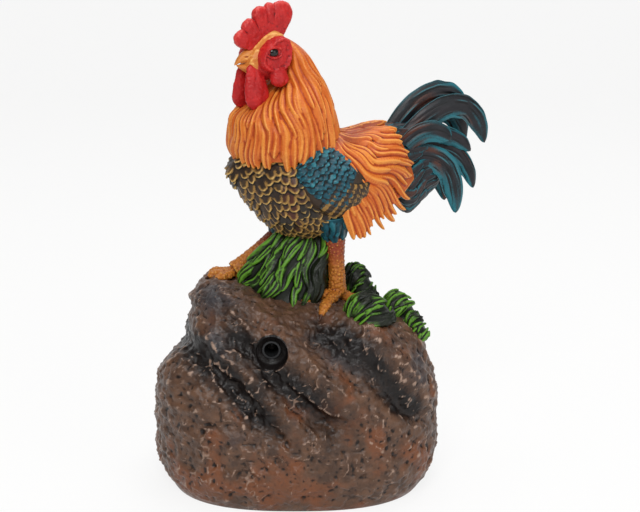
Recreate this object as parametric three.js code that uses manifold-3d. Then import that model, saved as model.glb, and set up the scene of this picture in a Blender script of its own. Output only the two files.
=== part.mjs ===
// Rooster garden sculpture: a painted cast-resin cockerel on a hollow rock that hides a crowing module.
// Millimetres, +Z up. Sizes are laid out from the middle of the rock's footprint.
// The bird walks towards -X, turned a little towards -Y, and shows its left side to -Y.

import * as THREE from "three";
import { mergeVertices } from "three/addons/utils/BufferGeometryUtils.js";
import Module from "manifold-3d";

const wasm = await Module();
wasm.setup();

const { Vector2, Vector3 } = THREE;
const degree = Math.PI / 180;
const fullTurn = 2 * Math.PI;

// Driving dimensions: clearances
const glueGap = 0.35; // left between two castings that are glued together
const slideGap = 0.4; // around pieces that move or drop in
const seatGap = 0.3; // between a piece and the face that it sits on
const overcut = 1; // that a cutter runs past the face it opens

// Driving dimensions: rock
const rockWidth = 142;
const rockDepth = 116;
const rockHeight = 97; // of the crown, over the middle of the footprint
const rockFall = 0.21; // drop of the crown towards the tail, mm per mm
const rockWall = 8;
const footTuck = 8; // how far the foot of the rock draws in
const footTuckHeight = 20;
const cleftDepth = 6;
const cleftWidth = 12;
const crestHeight = 2; // of the swell along the upper side of a cleft
const crestWidth = 8.5;
const crestOffset = 16; // from the bottom of a cleft to the top of its crest
const ledgeDepth = 10; // of the hollow under the ledge at the head end
const ledgeHeight = 83; // of the middle of that hollow
const ledgeSpan = 14.5;
const strataWave = 3; // that a cleft wanders to each side of its line
const strataWaveLength = 82;
const lumpDepth = 1.25;
const lumpSize = 12;
const rimWidth = 8;
const lipHeight = 9; // of the inward lip around the bottom opening

// Driving dimensions: torso and neck
const birdTurn = 20; // degrees that the breast turns towards -Y
const birdX = 5;
const birdY = 5;
const standHeight = 57.5; // from the rock's crown to the middle of the torso
const torsoLength = 90;
const torsoWidth = 57;
const torsoDepth = 56;
const breastReach = 40; // from the bird's axis to the front of the breast
const capeWidth = 55;
const capeDrop = 59; // from the top of the nape to the hem
const hackleLocks = 16;
const hackleDepth = 1.6;
const hemTooth = 7; // from the crotch between two locks to their tips
const napeLift = 8; // that the hem is higher at the nape than on the breast
const throatDepth = 7; // hollow under the jaw where the wattles hang

// Driving dimensions: head
const headRise = 60; // from the torso's middle to the head's
const headReach = 20;
const headTurn = 15; // degrees further towards -Y
const headLength = 26;
const headWidth = 20;
const headHeight = 22;
const browDrop = 1.5; // that the forehead falls towards the beak
const beakLength = 10.5;
const beakWidth = 8.4;
const beakHook = 2.8; // that the upper beak's tip falls below its root
const beakEmbed = 5; // that the beak's root lies inside the head
const lowerBeakLength = 8.6;
const lowerBeakWidth = 6.8;
const gape = 4.4; // from the middle of the upper beak to that of the lower
const combThickness = 5;
const combHeight = 17.2; // of its tallest lobe over the skull
const eyeDiameter = 5.4;
const wattleLength = 21;
const wattleWidth = 10.5;
const wattleThickness = 5;
const wattleSpacing = 9.2;
const earlobeLength = 10;
const earlobeWidth = 9.5;
const earlobeThickness = 7;
const faceRadius = 8;
const faceRelief = 1; // that the face disc stands out from the head
const faceEmbed = 5;

// Driving dimensions: wings, saddle, tail
const wingLength = 38;
const wingHeight = 37;
const wingThickness = 4.5;
const wingStep = 0.9; // that one row of wing feathers stands over the next
const wingEmbed = 2;
const saddleThickness = 4;
const saddleFlute = 1.3;
const saddleEmbed = 1.5;
const saddleDrop = 24; // that the saddle hackles hang below the flank
const saddleSweep = 11; // that their tips trail behind their roots
const saddleTuck = 3; // that the tips draw in under the rump
const tailLength = 45; // from the end of the torso to the tip of the longest sickle
const tailRise = 50; // from the torso's middle to the highest bend of a sickle
const tailSpread = 11; // from the middle of the fan to its outermost feather
const featherWidth = 13;
const featherThickness = 4.2;
const fluffWidth = 26; // of the soft wedge under the tail, at its root
const fluffEmbed = 12;
const fluffDip = 4; // of its root below the torso's middle
const fluffRise = 8; // of its tip above it

// Driving dimensions: legs and grass
const thighRadius = 10.5;
const thighEmbed = 6;
const shankRadius = 3.9;
const stride = 46; // along the bird's axis, from foot to foot
const frontFoot = 34; // ahead of the bird's axis
const stance = 26; // between the feet, across
const toeLength = 24;
const toeRadius = 3;
const rodDiameter = 3;
const rodEmbed = 6;
const grassRoot = 3; // that a tuft starts below the rock's surface
const sheafWidth = 43; // of the sheaf's foot
const sheafDepth = 32;
const sheafEmbed = 4; // that the middle sheaf reaches into the belly's outline
const tuftRadius = 8;
const tuftHeight = 10;
const tuftLean = 3; // that the top of a tuft is combed over

// Driving dimensions: sound module
const plateRecess = 2.5;
const plateThickness = 2.5;
const bayWall = 1.6;
const bayMargin = 5.6; // from the bay's outer wall to the edge of the opening, on the middle line
const cellDiameter = 14.2;
const cellLength = 49;
const cellEdge = 0.6; // crimped edge of a cell's ends
const nubDiameter = 5.4;
const nubHeight = 1.2;
const springLength = 4.6;
const springWire = 0.8;
const springWide = 9.2; // across the middle of the wire, at the root and at the tip
const springNarrow = 6.4;
const springTurns = 3;
const contactThickness = 0.5;
const contactWidth = 10.8;
const contactLift = 2; // of a strip's lower edge over the door
const doorThickness = 2.2;
const trunnionDiameter = 1.8;
const trunnionLength = 2.4;
const thumbDiameter = 10;
const thumbDepth = 1.4;
const speakerDiameter = 36;
const speakerHeight = 8;
const speakerSheet = 1.2; // thickness of the pressed basket
const speakerX = 14;
const speakerGap = 1; // to the wall of the battery bay
const coneSheet = 0.8;
const coneGap = 0.5;
const magnetDiameter = 18;
const magnetHeight = 6;
const grilleHole = 3.2;
const grillePitch = 6;
const boardThickness = 1.6;
const boardLength = 40;
const boardWidth = 24;
const standoffHeight = 2;
const standoffWidth = 4;
const chipDiameter = 10;
const chipHeight = 2.4;
const chipX = 8;
const switchX = -26;
const switchTravel = 4;
const switchLength = 14;
const switchWidth = 6.4;
const switchHeight = 5;
const knobLength = 5;
const knobWidth = 3.4;
const knobStem = 2.6; // that the knob reaches into its case
const knobProud = 1.6; // that it stands out below the plate
const sensorX = -11.6;
const sensorHeight = 78;
const mouthDiameter = 15;
const mouthDepth = 5;
const tubeDiameter = 9;
const tubeBore = 7.2;
const tubeLength = 14;
const lensTail = 2; // that the photo sensor stands out behind its tube
const lensSet = 6.3; // that its dome lies back in the tube
const leadDiameter = 2.4;
const leadLoop = 8; // that a lead rises from its joint before it bends
const leadSway = 3; // that it wanders sideways on its way
const bossDiameter = 8;
const bossHeight = 18;
const screwShank = 2.6;
const screwHead = 5.6;
const screwHeadHeight = 1.6;
const screwPoint = 1;
const screwLength = 12;

// Painted resin, plastic and metal finishes
const paint = (color, roughness = 0.6, metalness = 0) =>
  new THREE.MeshStandardMaterial({ color, roughness, metalness });
const rockBrown = paint("#6b4f3d", 0.7);
const breastBrown = paint("#6a5636");
const hackleOrange = paint("#e07a26");
const skinOrange = paint("#e09a45");
const combRed = paint("#b8202a", 0.5);
const eyeBlack = paint("#120d08", 0.15);
const wingTeal = paint("#1f5f6e");
const tailSlate = paint("#24383d");
const shankOrange = paint("#b8602f");
const grassGreen = paint("#3d7a22");
const mouldedBlack = paint("#17181a", 0.5);
const cellGreen = paint("#2e6b46", 0.35);
const nickel = paint("#b9b9b4", 0.3, 1);
const steel = paint("#8d8f92", 0.4, 1);
const boardGreen = paint("#1d5a37", 0.5);
const conePaper = paint("#2a2927", 0.9);
const leadRed = paint("#8c1f1c", 0.5);

// Geometry helpers

// Two triangles over a quad, split along the diagonal that folds it least.
function quad(points, a, b, c, d) {
  const normal = (i, j, k) => new THREE.Triangle(points[i], points[j], points[k]).getNormal(new Vector3());
  const fold = normal(a, b, c).dot(normal(a, c, d));
  const otherFold = normal(a, b, d).dot(normal(b, c, d));
  const first = [[a, b, c], [a, c, d]];
  const second = [[a, b, d], [b, c, d]];
  return fold >= otherFold ? first : second;
}

// A closed surface through rings of equal point count, with a fan over each end, facing out.
function loft(rings) {
  const sides = rings[0].length;
  const middle = (ring) => ring.reduce((sum, p) => sum.add(p), new Vector3()).divideScalar(sides);
  const points = [...rings.flat(), middle(rings[0]), middle(rings.at(-1))];
  const start = points.length - 2;
  const end = points.length - 1;
  const faces = [];
  for (let j = 0; j < sides; j++) {
    const k = (j + 1) % sides;
    for (let i = 0; i < rings.length - 1; i++) {
      const low = i * sides;
      const high = low + sides;
      faces.push(...quad(points, low + j, low + k, high + k, high + j));
    }
    const last = (rings.length - 1) * sides;
    faces.push([start, k, j], [end, last + j, last + k]);
  }
  return surface(points, faces);
}

// A closed slab between two sheets of points, front(u, v) and back(u, v).
function slab(front, back, columns, rows) {
  const points = [];
  const faces = [];
  const at = (sheet, i, j) => sheet * (columns + 1) * (rows + 1) + i * (rows + 1) + j;
  [front, back].forEach((sheet) => {
    for (let i = 0; i <= columns; i++)
      for (let j = 0; j <= rows; j++) points.push(sheet(i / columns, j / rows));
  });
  const face = (...corners) => faces.push(...quad(points, ...corners));
  for (let i = 0; i < columns; i++)
    for (let j = 0; j < rows; j++) {
      face(at(0, i, j), at(0, i + 1, j), at(0, i + 1, j + 1), at(0, i, j + 1));
      face(at(1, i, j), at(1, i, j + 1), at(1, i + 1, j + 1), at(1, i + 1, j));
    }
  for (let i = 0; i < columns; i++) {
    face(at(0, i, 0), at(1, i, 0), at(1, i + 1, 0), at(0, i + 1, 0));
    face(at(0, i, rows), at(0, i + 1, rows), at(1, i + 1, rows), at(1, i, rows));
  }
  for (let j = 0; j < rows; j++) {
    face(at(0, 0, j), at(0, 0, j + 1), at(1, 0, j + 1), at(1, 0, j));
    face(at(0, columns, j), at(1, columns, j), at(1, columns, j + 1), at(0, columns, j + 1));
  }
  return surface(points, faces);
}

// An indexed geometry, turned so that its faces point out.
function surface(points, faces) {
  const volume = faces.reduce(
    (sum, [a, b, c]) => sum + points[a].dot(new Vector3().crossVectors(points[b], points[c])),
    0,
  );
  const outward = volume < 0 ? faces.map(([a, b, c]) => [a, c, b]) : faces;
  return new THREE.BufferGeometry().setFromPoints(points).setIndex(outward.flat());
}

// Position-only copy with shared corners merged.
function bare(geometry) {
  const copy = new THREE.BufferGeometry().setAttribute("position", geometry.getAttribute("position"));
  if (geometry.index) copy.setIndex(geometry.index);
  return mergeVertices(copy);
}

function solidOf(geometry) {
  const merged = bare(geometry);
  return new wasm.Manifold(
    new wasm.Mesh({
      numProp: 3,
      vertProperties: new Float32Array(merged.attributes.position.array),
      triVerts: new Uint32Array(merged.index.array),
    }),
  );
}

// The same form pushed out along its normals, for cutting a seat with a gap.
function grown(geometry, gap = glueGap) {
  const wider = bare(geometry);
  wider.computeVertexNormals();
  const position = wider.attributes.position;
  const normal = wider.attributes.normal;
  for (let i = 0; i < position.count; i++) {
    const point = new Vector3().fromBufferAttribute(position, i);
    point.addScaledVector(new Vector3().fromBufferAttribute(normal, i), gap);
    position.setXYZ(i, point.x, point.y, point.z);
  }
  return solidOf(wider);
}

const cut = (solid, ...cutters) => cutters.reduce((rest, cutter) => rest.subtract(cutter), solid);
const join = (first, ...others) => others.reduce((sum, other) => sum.add(other), first);

// What a seat cuts off beyond a neighbour is waste: the piece is the largest body that is left.
const mainBody = (solid) => solid.decompose().sort((a, b) => b.volume() - a.volume())[0];

function geometryOf(solid) {
  const { vertProperties, triVerts, numProp, numVert } = solid.getMesh();
  const corners = new Float32Array(numVert * 3);
  for (let i = 0; i < numVert; i++)
    corners.set(vertProperties.subarray(i * numProp, i * numProp + 3), i * 3);
  return new THREE.BufferGeometry()
    .setAttribute("position", new THREE.BufferAttribute(corners, 3))
    .setIndex(new THREE.BufferAttribute(new Uint32Array(triVerts), 1));
}

const sculpture = new THREE.Group();
const bird = new THREE.Group();
bird.position.set(birdX, birdY, 0);
bird.rotation.z = Math.PI + birdTurn * degree;
bird.updateMatrixWorld();
sculpture.add(bird);
const birdToRow = bird.matrixWorld;
const rowToBird = birdToRow.clone().invert();

// Adds a named piece, from a solid or a geometry, to a group.
function piece(name, shape, material, group = sculpture) {
  const geometry = shape.isBufferGeometry ? shape : geometryOf(mainBody(shape));
  const mesh = new THREE.Mesh(geometry, material);
  mesh.name = name;
  group.add(mesh);
  return mesh;
}

const moved = (geometry, matrix) => geometry.clone().applyMatrix4(matrix);
const inRow = (geometry) => moved(geometry, birdToRow);
const smooth = (low, high, value) => THREE.MathUtils.smoothstep(value, low, high);
const mix = THREE.MathUtils.lerp;

// A value read from evenly spaced stations by a smooth curve.
function stations(values) {
  const last = values.length - 1;
  const curve = new THREE.SplineCurve(values.map((value, i) => new Vector2(i / last, value)));
  return (t) => curve.getPoint(Math.min(1, Math.max(0, t))).y;
}

const ringOf = (count, point) =>
  Array.from({ length: count }, (_, j) => point((j / count) * fullTurn));
const steps = (count, make) => Array.from({ length: count + 1 }, (_, i) => make(i / count));

// Steps that crowd towards both ends, where a form rounds off.
const roundSteps = (count, tip, make) =>
  steps(count, (t) => make(mix(tip, 1 - tip, (1 - Math.cos(Math.PI * t)) / 2)));

// A rounded end: 0 at the end itself, 1 from the given share of the length on.
const blunt = (t, share) => Math.sqrt(Math.max(0, 1 - (1 - Math.min(1, t / share)) ** 2));

// A rod along a curve, as wide as radius(t) across and flat(t) times that through.
const leastRadius = 0.25;
const bodyAcross = new Vector3(0, 1, 0);
function limb({ curve, radius, flat = () => 1, count, sides }) {
  return loft(
    steps(count, (t) => {
      const centre = curve.getPoint(t);
      const along = curve.getTangent(t);
      const through = new Vector3().crossVectors(along, bodyAcross).normalize();
      const wide = new Vector3().crossVectors(through, along).normalize();
      const r = Math.max(radius(t), leastRadius);
      return ringOf(sides, (a) =>
        centre
          .clone()
          .addScaledVector(wide, r * Math.cos(a))
          .addScaledVector(through, r * flat(t) * Math.sin(a)),
      );
    }),
  );
}

// A round wire or bore along a curve.
function wire(curve, radius, count, sides) {
  const section = new THREE.Shape(
    ringOf(sides, (a) => new Vector2(Math.cos(a), Math.sin(a)).multiplyScalar(radius)),
  );
  return new THREE.ExtrudeGeometry(section, { extrudePath: curve, steps: count, bevelEnabled: false });
}

// A turned piece on +Z from [radius, height] pairs that start and end on the axis or close on themselves.
const turned = (profile, sides) =>
  new THREE.LatheGeometry(profile.map(([r, z]) => new Vector2(r, z)), sides).rotateX(Math.PI / 2);

function boxAt([x0, x1], [y0, y1], [z0, z1]) {
  const box = new THREE.BoxGeometry(x1 - x0, y1 - y0, z1 - z0);
  return box.translate((x0 + x1) / 2, (y0 + y1) / 2, (z0 + z1) / 2);
}
function postAt(x, y, [z0, z1], radius, sides) {
  const post = new THREE.CylinderGeometry(radius, radius, z1 - z0, sides);
  return post.rotateX(Math.PI / 2).translate(x, y, (z0 + z1) / 2);
}
const around = (middle, width) => [middle - width / 2, middle + width / 2];

// Rock: a squarish footprint whose walls roll over into a crown that falls towards the tail

const footprintPower = 2.5;
const crownPower = 2.5;
const rollFront = 2.6; // how squarely the wall turns into the crown, by side
const rollTail = 9;
const rollHead = 6;
const rollBlend = 4;
const cleftPlaces = [0.085, 0.31, 0.62]; // across the strata, as shares of the rock's width
const strataLean = 0.35;
const ridgeSwell = 0.3; // of the stone between two clefts, as a share of their depth
const cleftRise = [0.3, 0.52]; // height, as a share of the rock's, over which the clefts deepen
const cleftFade = [0.82, 0.98]; // and over which they run out
const crownCleft = 0.25; // share of the depth that is left on the crown
const crownEnd = 0.985; // share of the climb at which a fan closes the crown

function footprintReach(angle, inset) {
  const x = Math.abs(Math.cos(angle)) / (rockWidth / 2 - inset);
  const y = Math.abs(Math.sin(angle)) / (rockDepth / 2 - inset);
  return (x ** footprintPower + y ** footprintPower) ** (-1 / footprintPower);
}

function rollOf(angle) {
  const ahead = Math.cos(angle);
  const towardsTail = Math.max(0, ahead) ** rollBlend;
  const towardsHead = Math.max(0, -ahead) ** rollBlend;
  return rollFront + (rollTail - rollFront) * towardsTail + (rollHead - rollFront) * towardsHead;
}

// Clefts cross the rock on the slant, deepest half-way up, each under a crest, with shallow lumps between.
function rockRelief(p) {
  const wander = Math.sin((fullTurn * (p.x + strataLean * p.z)) / strataWaveLength);
  const across = p.x + p.z + strataLean * p.y + strataWave * wander;
  const hump = (place, width) => Math.exp(-(((across - place) / width) ** 2));
  const folds = cleftPlaces.map((share) => {
    const place = share * rockWidth;
    return crestHeight * hump(place + crestOffset, crestWidth) - cleftDepth * hump(place, cleftWidth);
  });
  const fold = folds.reduce((sum, value) => sum + value, cleftDepth * ridgeSwell);
  const height = p.z / rockHeight;
  const level = smooth(...cleftRise, height) * (1 - (1 - crownCleft) * smooth(...cleftFade, height));
  const lump = Math.sin(p.x / lumpSize + 1) * Math.cos(p.y / lumpSize) * Math.sin(p.z / lumpSize);
  return level * fold + lumpDepth * lump;
}

function rockPoint(angle, climb, inset, carved) {
  const reach = footprintReach(angle, inset) * Math.cos(climb) ** (2 / rollOf(angle));
  const ahead = new Vector3(Math.cos(angle), Math.sin(angle), 0);
  const crown = rockHeight - inset - rockFall * reach * ahead.x;
  const height = crown * Math.sin(climb) ** (2 / crownPower);
  const ledge = ledgeDepth * Math.exp(-(((height - ledgeHeight) / ledgeSpan) ** 2));
  const towardsHead = Math.max(0, -ahead.x) ** rollBlend;
  const point = ahead.clone().multiplyScalar(reach - ledge * towardsHead).setZ(height);
  if (!carved) return point;
  const out = ahead.clone().multiplyScalar(Math.cos(climb)).setZ(Math.sin(climb));
  const fade = smooth(0, footTuckHeight, point.z);
  point.addScaledVector(out, rockRelief(point) * fade);
  const tuck = footTuck * (1 - Math.min(1, point.z / footTuckHeight)) ** 2;
  point.x *= 1 - tuck / (rockWidth / 2);
  point.y *= 1 - tuck / (rockWidth / 2);
  return point;
}

const rockRings = (count, sides, inset, carved) =>
  steps(count, (t) => {
    const climb = Math.min(t, crownEnd) * (Math.PI / 2);
    return ringOf(sides, (a) => rockPoint(a, climb, inset, carved));
  });
const rockForm = loft(rockRings(13, 36, 0, true));
const rockSolid = solidOf(rockForm);

// Height of the carved rock under a point of the plan, by walking up the wall at that bearing.
const searchSteps = 30;
function rockTop(x, y) {
  const angle = Math.atan2(y, x);
  const reach = Math.hypot(x, y);
  let low = 0;
  let high = Math.PI / 2;
  for (let i = 0; i < searchSteps; i++) {
    const climb = (low + high) / 2;
    const p = rockPoint(angle, climb, 0, true);
    if (Math.hypot(p.x, p.y) > reach) low = climb;
    else high = climb;
  }
  return rockPoint(angle, low, 0, true).z;
}

// Depth of the carved rock's front face at a height, by halving the way from its rim to its middle.
function rockFront(x, z) {
  let outer = -rockDepth / 2;
  let inner = 0;
  for (let i = 0; i < searchSteps; i++) {
    const y = (outer + inner) / 2;
    const outside = footprintReach(Math.atan2(y, x), 0) < Math.hypot(x, y);
    if (outside || rockTop(x, y) < z) outer = y;
    else inner = y;
  }
  return inner;
}

// Torso, in the bird's frame: +X forward, +Y to the bird's left, +Z up

const torsoMiddle = rockHeight + standHeight;
const torsoTip = 0.004; // share of the length where the end fans sit
const breastRound = 0.3; // share of the length over which an end rounds off
const rumpRound = 0.12;
const torsoWidths = stations([0.5, 0.76, 0.95, 1, 0.93, 0.68, 0.36]);
const torsoHeights = stations([0.5, 0.78, 0.97, 0.97, 0.72, 0.52, 0.36]);
const torsoRises = stations([0.1, 0.03, -0.02, -0.03, 0, 0.14, 0.24]);

// A point on the torso: s from breast to tail, angle from the back round to the bird's left.
function torsoPoint(s, angle, lift = 0) {
  const round = blunt(s, breastRound) * blunt(1 - s, rumpRound);
  const wide = (torsoWidth / 2) * torsoWidths(s) * round + lift;
  const deep = (torsoDepth / 2) * torsoHeights(s) * round + lift;
  return new Vector3(
    breastReach - s * torsoLength,
    wide * Math.sin(angle),
    torsoMiddle + torsoDepth * torsoRises(s) + deep * Math.cos(angle),
  );
}
const torsoForm = loft(roundSteps(10, torsoTip, (s) => ringOf(18, (a) => torsoPoint(s, a))));
const torsoCutter = grown(torsoForm);

// Neck cape: a bell of hackle locks whose tips make a ragged hem

const headCentre = new Vector3(headReach, 0, torsoMiddle + headRise);
const capeTop = headCentre.z + headHeight * 0.45;
const capeTip = 0.01;
const capeRound = 0.1;
const capeWidths = stations([0.2, 0.38, 0.52, 0.68, 0.86, 0.94, 0.98, 1, 1.02]);
const capeCentres = stations([0.6, 0.62, 0.57, 0.53, 0.62, 0.62, 0.6, 0.58, 0.56]);
const lockTwist = 2.2; // radians that a lock winds from the nape to the hem
const lockWave = 0.5;
const fluteStart = [0.08, 0.35]; // shares of the drop over which the flutes deepen
const throatSpan = [0.1, 0.25, 0.5, 0.64]; // where the throat's hollow starts, is full, ends
const hemStart = 0.75;

// A point on the cape: k from nape to hem, angle from the breast round to the bird's left.
function capePoint(k, angle) {
  const lock = Math.abs(Math.cos((angle * hackleLocks) / 2 + lockTwist * k + lockWave * Math.sin(5 * k)));
  const flute = hackleDepth * (lock - 0.5) * smooth(...fluteStart, k);
  const jaw = Math.max(0, Math.cos(angle - headTurn * degree)) ** 2;
  const [opens, full, closes, closed] = throatSpan;
  const throat = throatDepth * jaw * smooth(opens, full, k) * (1 - smooth(closes, closed, k));
  const reach = (capeWidth / 2) * capeWidths(k) * blunt(k, capeRound) + flute - throat;
  const hem = smooth(hemStart, 1, k) * (hemTooth * (lock - 0.5) - (napeLift / 2) * (1 - Math.cos(angle)));
  return new Vector3(
    headReach * capeCentres(k) + reach * Math.cos(angle),
    reach * Math.sin(angle),
    capeTop - capeDrop * k - hem,
  );
}
const capeForm = loft(
  steps(8, (k) => ringOf(hackleLocks * 2, (a) => capePoint(Math.max(k, capeTip), a))),
);

// Head, in a frame of its own that turns on the neck

const headMatrix = new THREE.Matrix4().makeRotationZ(headTurn * degree).setPosition(headCentre);
const inHead = (geometry) => moved(geometry, headMatrix);
const headTip = 0.01;
const napeRound = 0.3;
const browRound = 0.08;
const headWidths = stations([0.55, 0.86, 1, 0.97, 0.74, 0.46]);
const headHeights = stations([0.6, 0.9, 1, 0.93, 0.7, 0.4]);
function headPoint(s, angle) {
  const round = blunt(s, napeRound) * blunt(1 - s, browRound);
  return new Vector3(
    headLength * (s - 0.5),
    (headWidth / 2) * headWidths(s) * round * Math.sin(angle),
    (headHeight / 2) * headHeights(s) * round * Math.cos(angle) - browDrop * smooth(0.6, 1, s),
  );
}
const headForm = inHead(loft(roundSteps(7, headTip, (s) => ringOf(10, (a) => headPoint(s, a)))));

const beakRoot = headLength / 2 - beakEmbed;
const beakRise = headHeight * 0.036;
const beakTaper = 1.3;
const beakTip = 0.12; // width of a beak's tip as a share of its root
const upperBeakForm = inHead(
  limb({
    curve: new THREE.QuadraticBezierCurve3(
      new Vector3(beakRoot, 0, beakRise),
      new Vector3(beakRoot + beakLength * 0.7, 0, beakRise),
      new Vector3(beakRoot + beakLength, 0, beakRise - beakHook),
    ),
    radius: (t) => (beakWidth / 2) * mix(1, beakTip, t ** beakTaper),
    flat: () => 0.85,
    count: 5,
    sides: 10,
  }),
);
const lowerBeakForm = inHead(
  limb({
    curve: new THREE.LineCurve3(
      new Vector3(beakRoot, 0, beakRise - gape),
      new Vector3(beakRoot + lowerBeakLength, 0, beakRise - gape),
    ),
    radius: (t) => (lowerBeakWidth / 2) * mix(1, beakTip, t ** beakTaper),
    flat: () => 0.5,
    count: 4,
    sides: 10,
  }),
);

// Comb: a thick upright blade whose edge is a fan of round lobes about the head's middle

const combCreases = [22, 46.5, 68, 88, 99.5, 128]; // at and between the ends, degrees up from the beak
const creaseHeights = [0.3, 0.53, 0.51, 0.75, 0.84, 0.58]; // as shares of the comb's height
const lobeHeights = [0.6, 0.65, 0.83, 0.89, 1]; // of the lobes from crease to crease
const combRoot = 0.3; // where the blade starts inside the head, as a share of its height
const combSharpness = 0.6; // of the thickness that is lost towards the edge
function combReach(bearing) {
  const lobe = Math.min(combCreases.findLastIndex((crease) => crease <= bearing), lobeHeights.length - 1);
  const across = (bearing - combCreases[lobe]) / (combCreases[lobe + 1] - combCreases[lobe]);
  const low = mix(creaseHeights[lobe], creaseHeights[lobe + 1], across);
  const round = Math.sqrt(Math.max(0, 1 - (2 * across - 1) ** 2));
  return headHeight / 2 + combHeight * mix(low, lobeHeights[lobe], round);
}
const combSheet = (side) => (u, v) => {
  const bearing = mix(combCreases[0], combCreases.at(-1), u);
  const r = mix(headHeight * combRoot, combReach(bearing), v);
  const half = (combThickness / 2) * (1 - combSharpness * v ** 3);
  return new Vector3(r * Math.cos(bearing * degree), side * half, r * Math.sin(bearing * degree));
};
const combForm = inHead(slab(combSheet(1), combSheet(-1), 20, 2));

// Soft red drops under the face: wattles hang from the jaw, earlobes lie behind them

const dropRadii = [0, 0.45, 0.66, 0.88, 1, 0.88, 0.55, 0]; // as shares of the half width
const dropHeights = [0, 0.08, 0.3, 0.55, 0.74, 0.92, 0.99, 1]; // as shares of the length
function drop(length, width, thickness, lean, place) {
  const profile = dropRadii.map((r, i) => [(r * width) / 2, -dropHeights[i] * length]).reverse();
  const form = turned(profile, 6).scale(1, thickness / width, 1).rotateX(lean);
  return inHead(form.translate(...place));
}
const wattleLean = 7 * degree;
const earlobeLean = 11 * degree;
function wattleForm(side) {
  const place = [headLength * 0.34, (side * wattleSpacing) / 2, -headHeight * 0.2];
  return drop(wattleLength, wattleWidth, wattleThickness, side * wattleLean, place);
}
function earlobeForm(side) {
  const place = [-headLength * 0.02, side * headWidth * 0.46, -headHeight * 0.16];
  return drop(earlobeLength, earlobeWidth, earlobeThickness, side * earlobeLean, place);
}

// Face: a low red disc round the eye
function faceForm(side) {
  const disc = turned(
    [
      [0, -faceEmbed],
      [faceRadius, -faceEmbed],
      [faceRadius, -faceRelief / 2],
      [faceRadius * 0.75, faceRelief * 0.8],
      [0, faceRelief],
    ],
    9,
  );
  const place = [-headLength * 0.03, side * (headWidth / 2), headHeight * 0.09];
  return inHead(disc.rotateX((-side * Math.PI) / 2).translate(...place));
}
function eyeForm(side, gap = 0) {
  const ball = new THREE.SphereGeometry(eyeDiameter / 2 + gap, 8, 6);
  const place = [headLength * 0.08, side * (headWidth / 2 - eyeDiameter * 0.12), headHeight * 0.15];
  return inHead(ball.translate(...place));
}

// Wings: shields of layered feathers folded against the flanks

const wingStart = 0.29; // along the torso
const wingAngles = [72 * degree, 92 * degree]; // round from the back, at the shoulder and at the tip
const wingRows = 5;
const wingLeaf = stations([0.4, 0.95, 1.05, 0.85, 0.3]);
const thinEdge = 0.25; // share of a shield's thickness that is left at its edges
function wingForm(side) {
  const span = wingLength / torsoLength;
  const half = wingHeight / torsoWidth;
  const angleAt = (u, v) => {
    const round = Math.max(thinEdge, blunt(u, 0.2));
    return side * (mix(...wingAngles, u) + (2 * v - 1) * half * wingLeaf(u) * round);
  };
  const swell = (u, v) => {
    const ends = Math.max(thinEdge, blunt(u, 0.25) * blunt(1 - u, 0.3));
    return wingThickness * (1 - Math.abs(2 * v - 1) ** 3) * ends;
  };
  const overlap = (u, v) => wingStep * ((u * wingRows + 0.35 * Math.sin(9 * v)) % 1);
  return slab(
    (u, v) => torsoPoint(wingStart + u * span, angleAt(u, v), swell(u, v) + overlap(u, v)),
    (u, v) => torsoPoint(wingStart + u * span, angleAt(u, v), -wingEmbed),
    9,
    5,
  );
}

// Saddle: hackles that part along the back, sweep over the rump and hang in pointed locks

const saddleSpan = [0.58, 0.93]; // along the torso
const saddleParting = 0.7 * degree; // from the middle of the back
const saddleFall = 100 * degree; // round from the back, where the locks leave the flank
const saddleHold = 0.72; // share of a lock that lies on the torso
const saddleLocks = 4;
const shortestLock = 0.62; // as a share of the longest
const rearShortening = 0.45; // of the locks towards the tail
function saddleForm(side) {
  const ridge = (u, phase) => Math.abs(Math.cos(u * saddleLocks * Math.PI + phase));
  const sheet = (u, v, lift) => {
    const held = Math.min(v / saddleHold, 1);
    const hang = Math.max(0, (v - saddleHold) / (1 - saddleHold));
    const p = torsoPoint(mix(...saddleSpan, u), side * mix(saddleParting, saddleFall, held), lift);
    p.z -= saddleDrop * hang * mix(shortestLock, 1, ridge(u, 2)) * (1 - rearShortening * u);
    p.x -= saddleSweep * v ** 2;
    p.y -= side * saddleTuck * hang;
    return p;
  };
  const swell = (u, v) => {
    const edge = Math.max(thinEdge, blunt(u, 0.15) * blunt(1 - v, 0.25));
    return saddleThickness * edge + saddleFlute * ridge(u, 2 * v) * smooth(0.05, 0.3, v);
  };
  return slab(
    (u, v) => sheet(u, v, swell(u, v)),
    (u, v) => sheet(u, v, -saddleEmbed),
    8,
    4,
  );
}

// Tail: a soft wedge of fluff under a fan of sickle feathers

const tailRoot = breastReach - torsoLength;
const tailForm = limb({
  curve: new THREE.QuadraticBezierCurve3(
    new Vector3(tailRoot + fluffEmbed, 0, torsoMiddle - fluffDip),
    new Vector3(tailRoot - fluffDip, 0, torsoMiddle + fluffRise * 0.75),
    new Vector3(tailRoot - tailLength / 2, 0, torsoMiddle + fluffRise),
  ),
  radius: (t) => (fluffWidth / 2) * mix(1, 0.4, t) * blunt(1 - t, 0.2) * Math.max(0.4, blunt(t, 0.2)),
  flat: (t) => mix(1.95, 2.6, t),
  count: 5,
  sides: 10,
});
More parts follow.
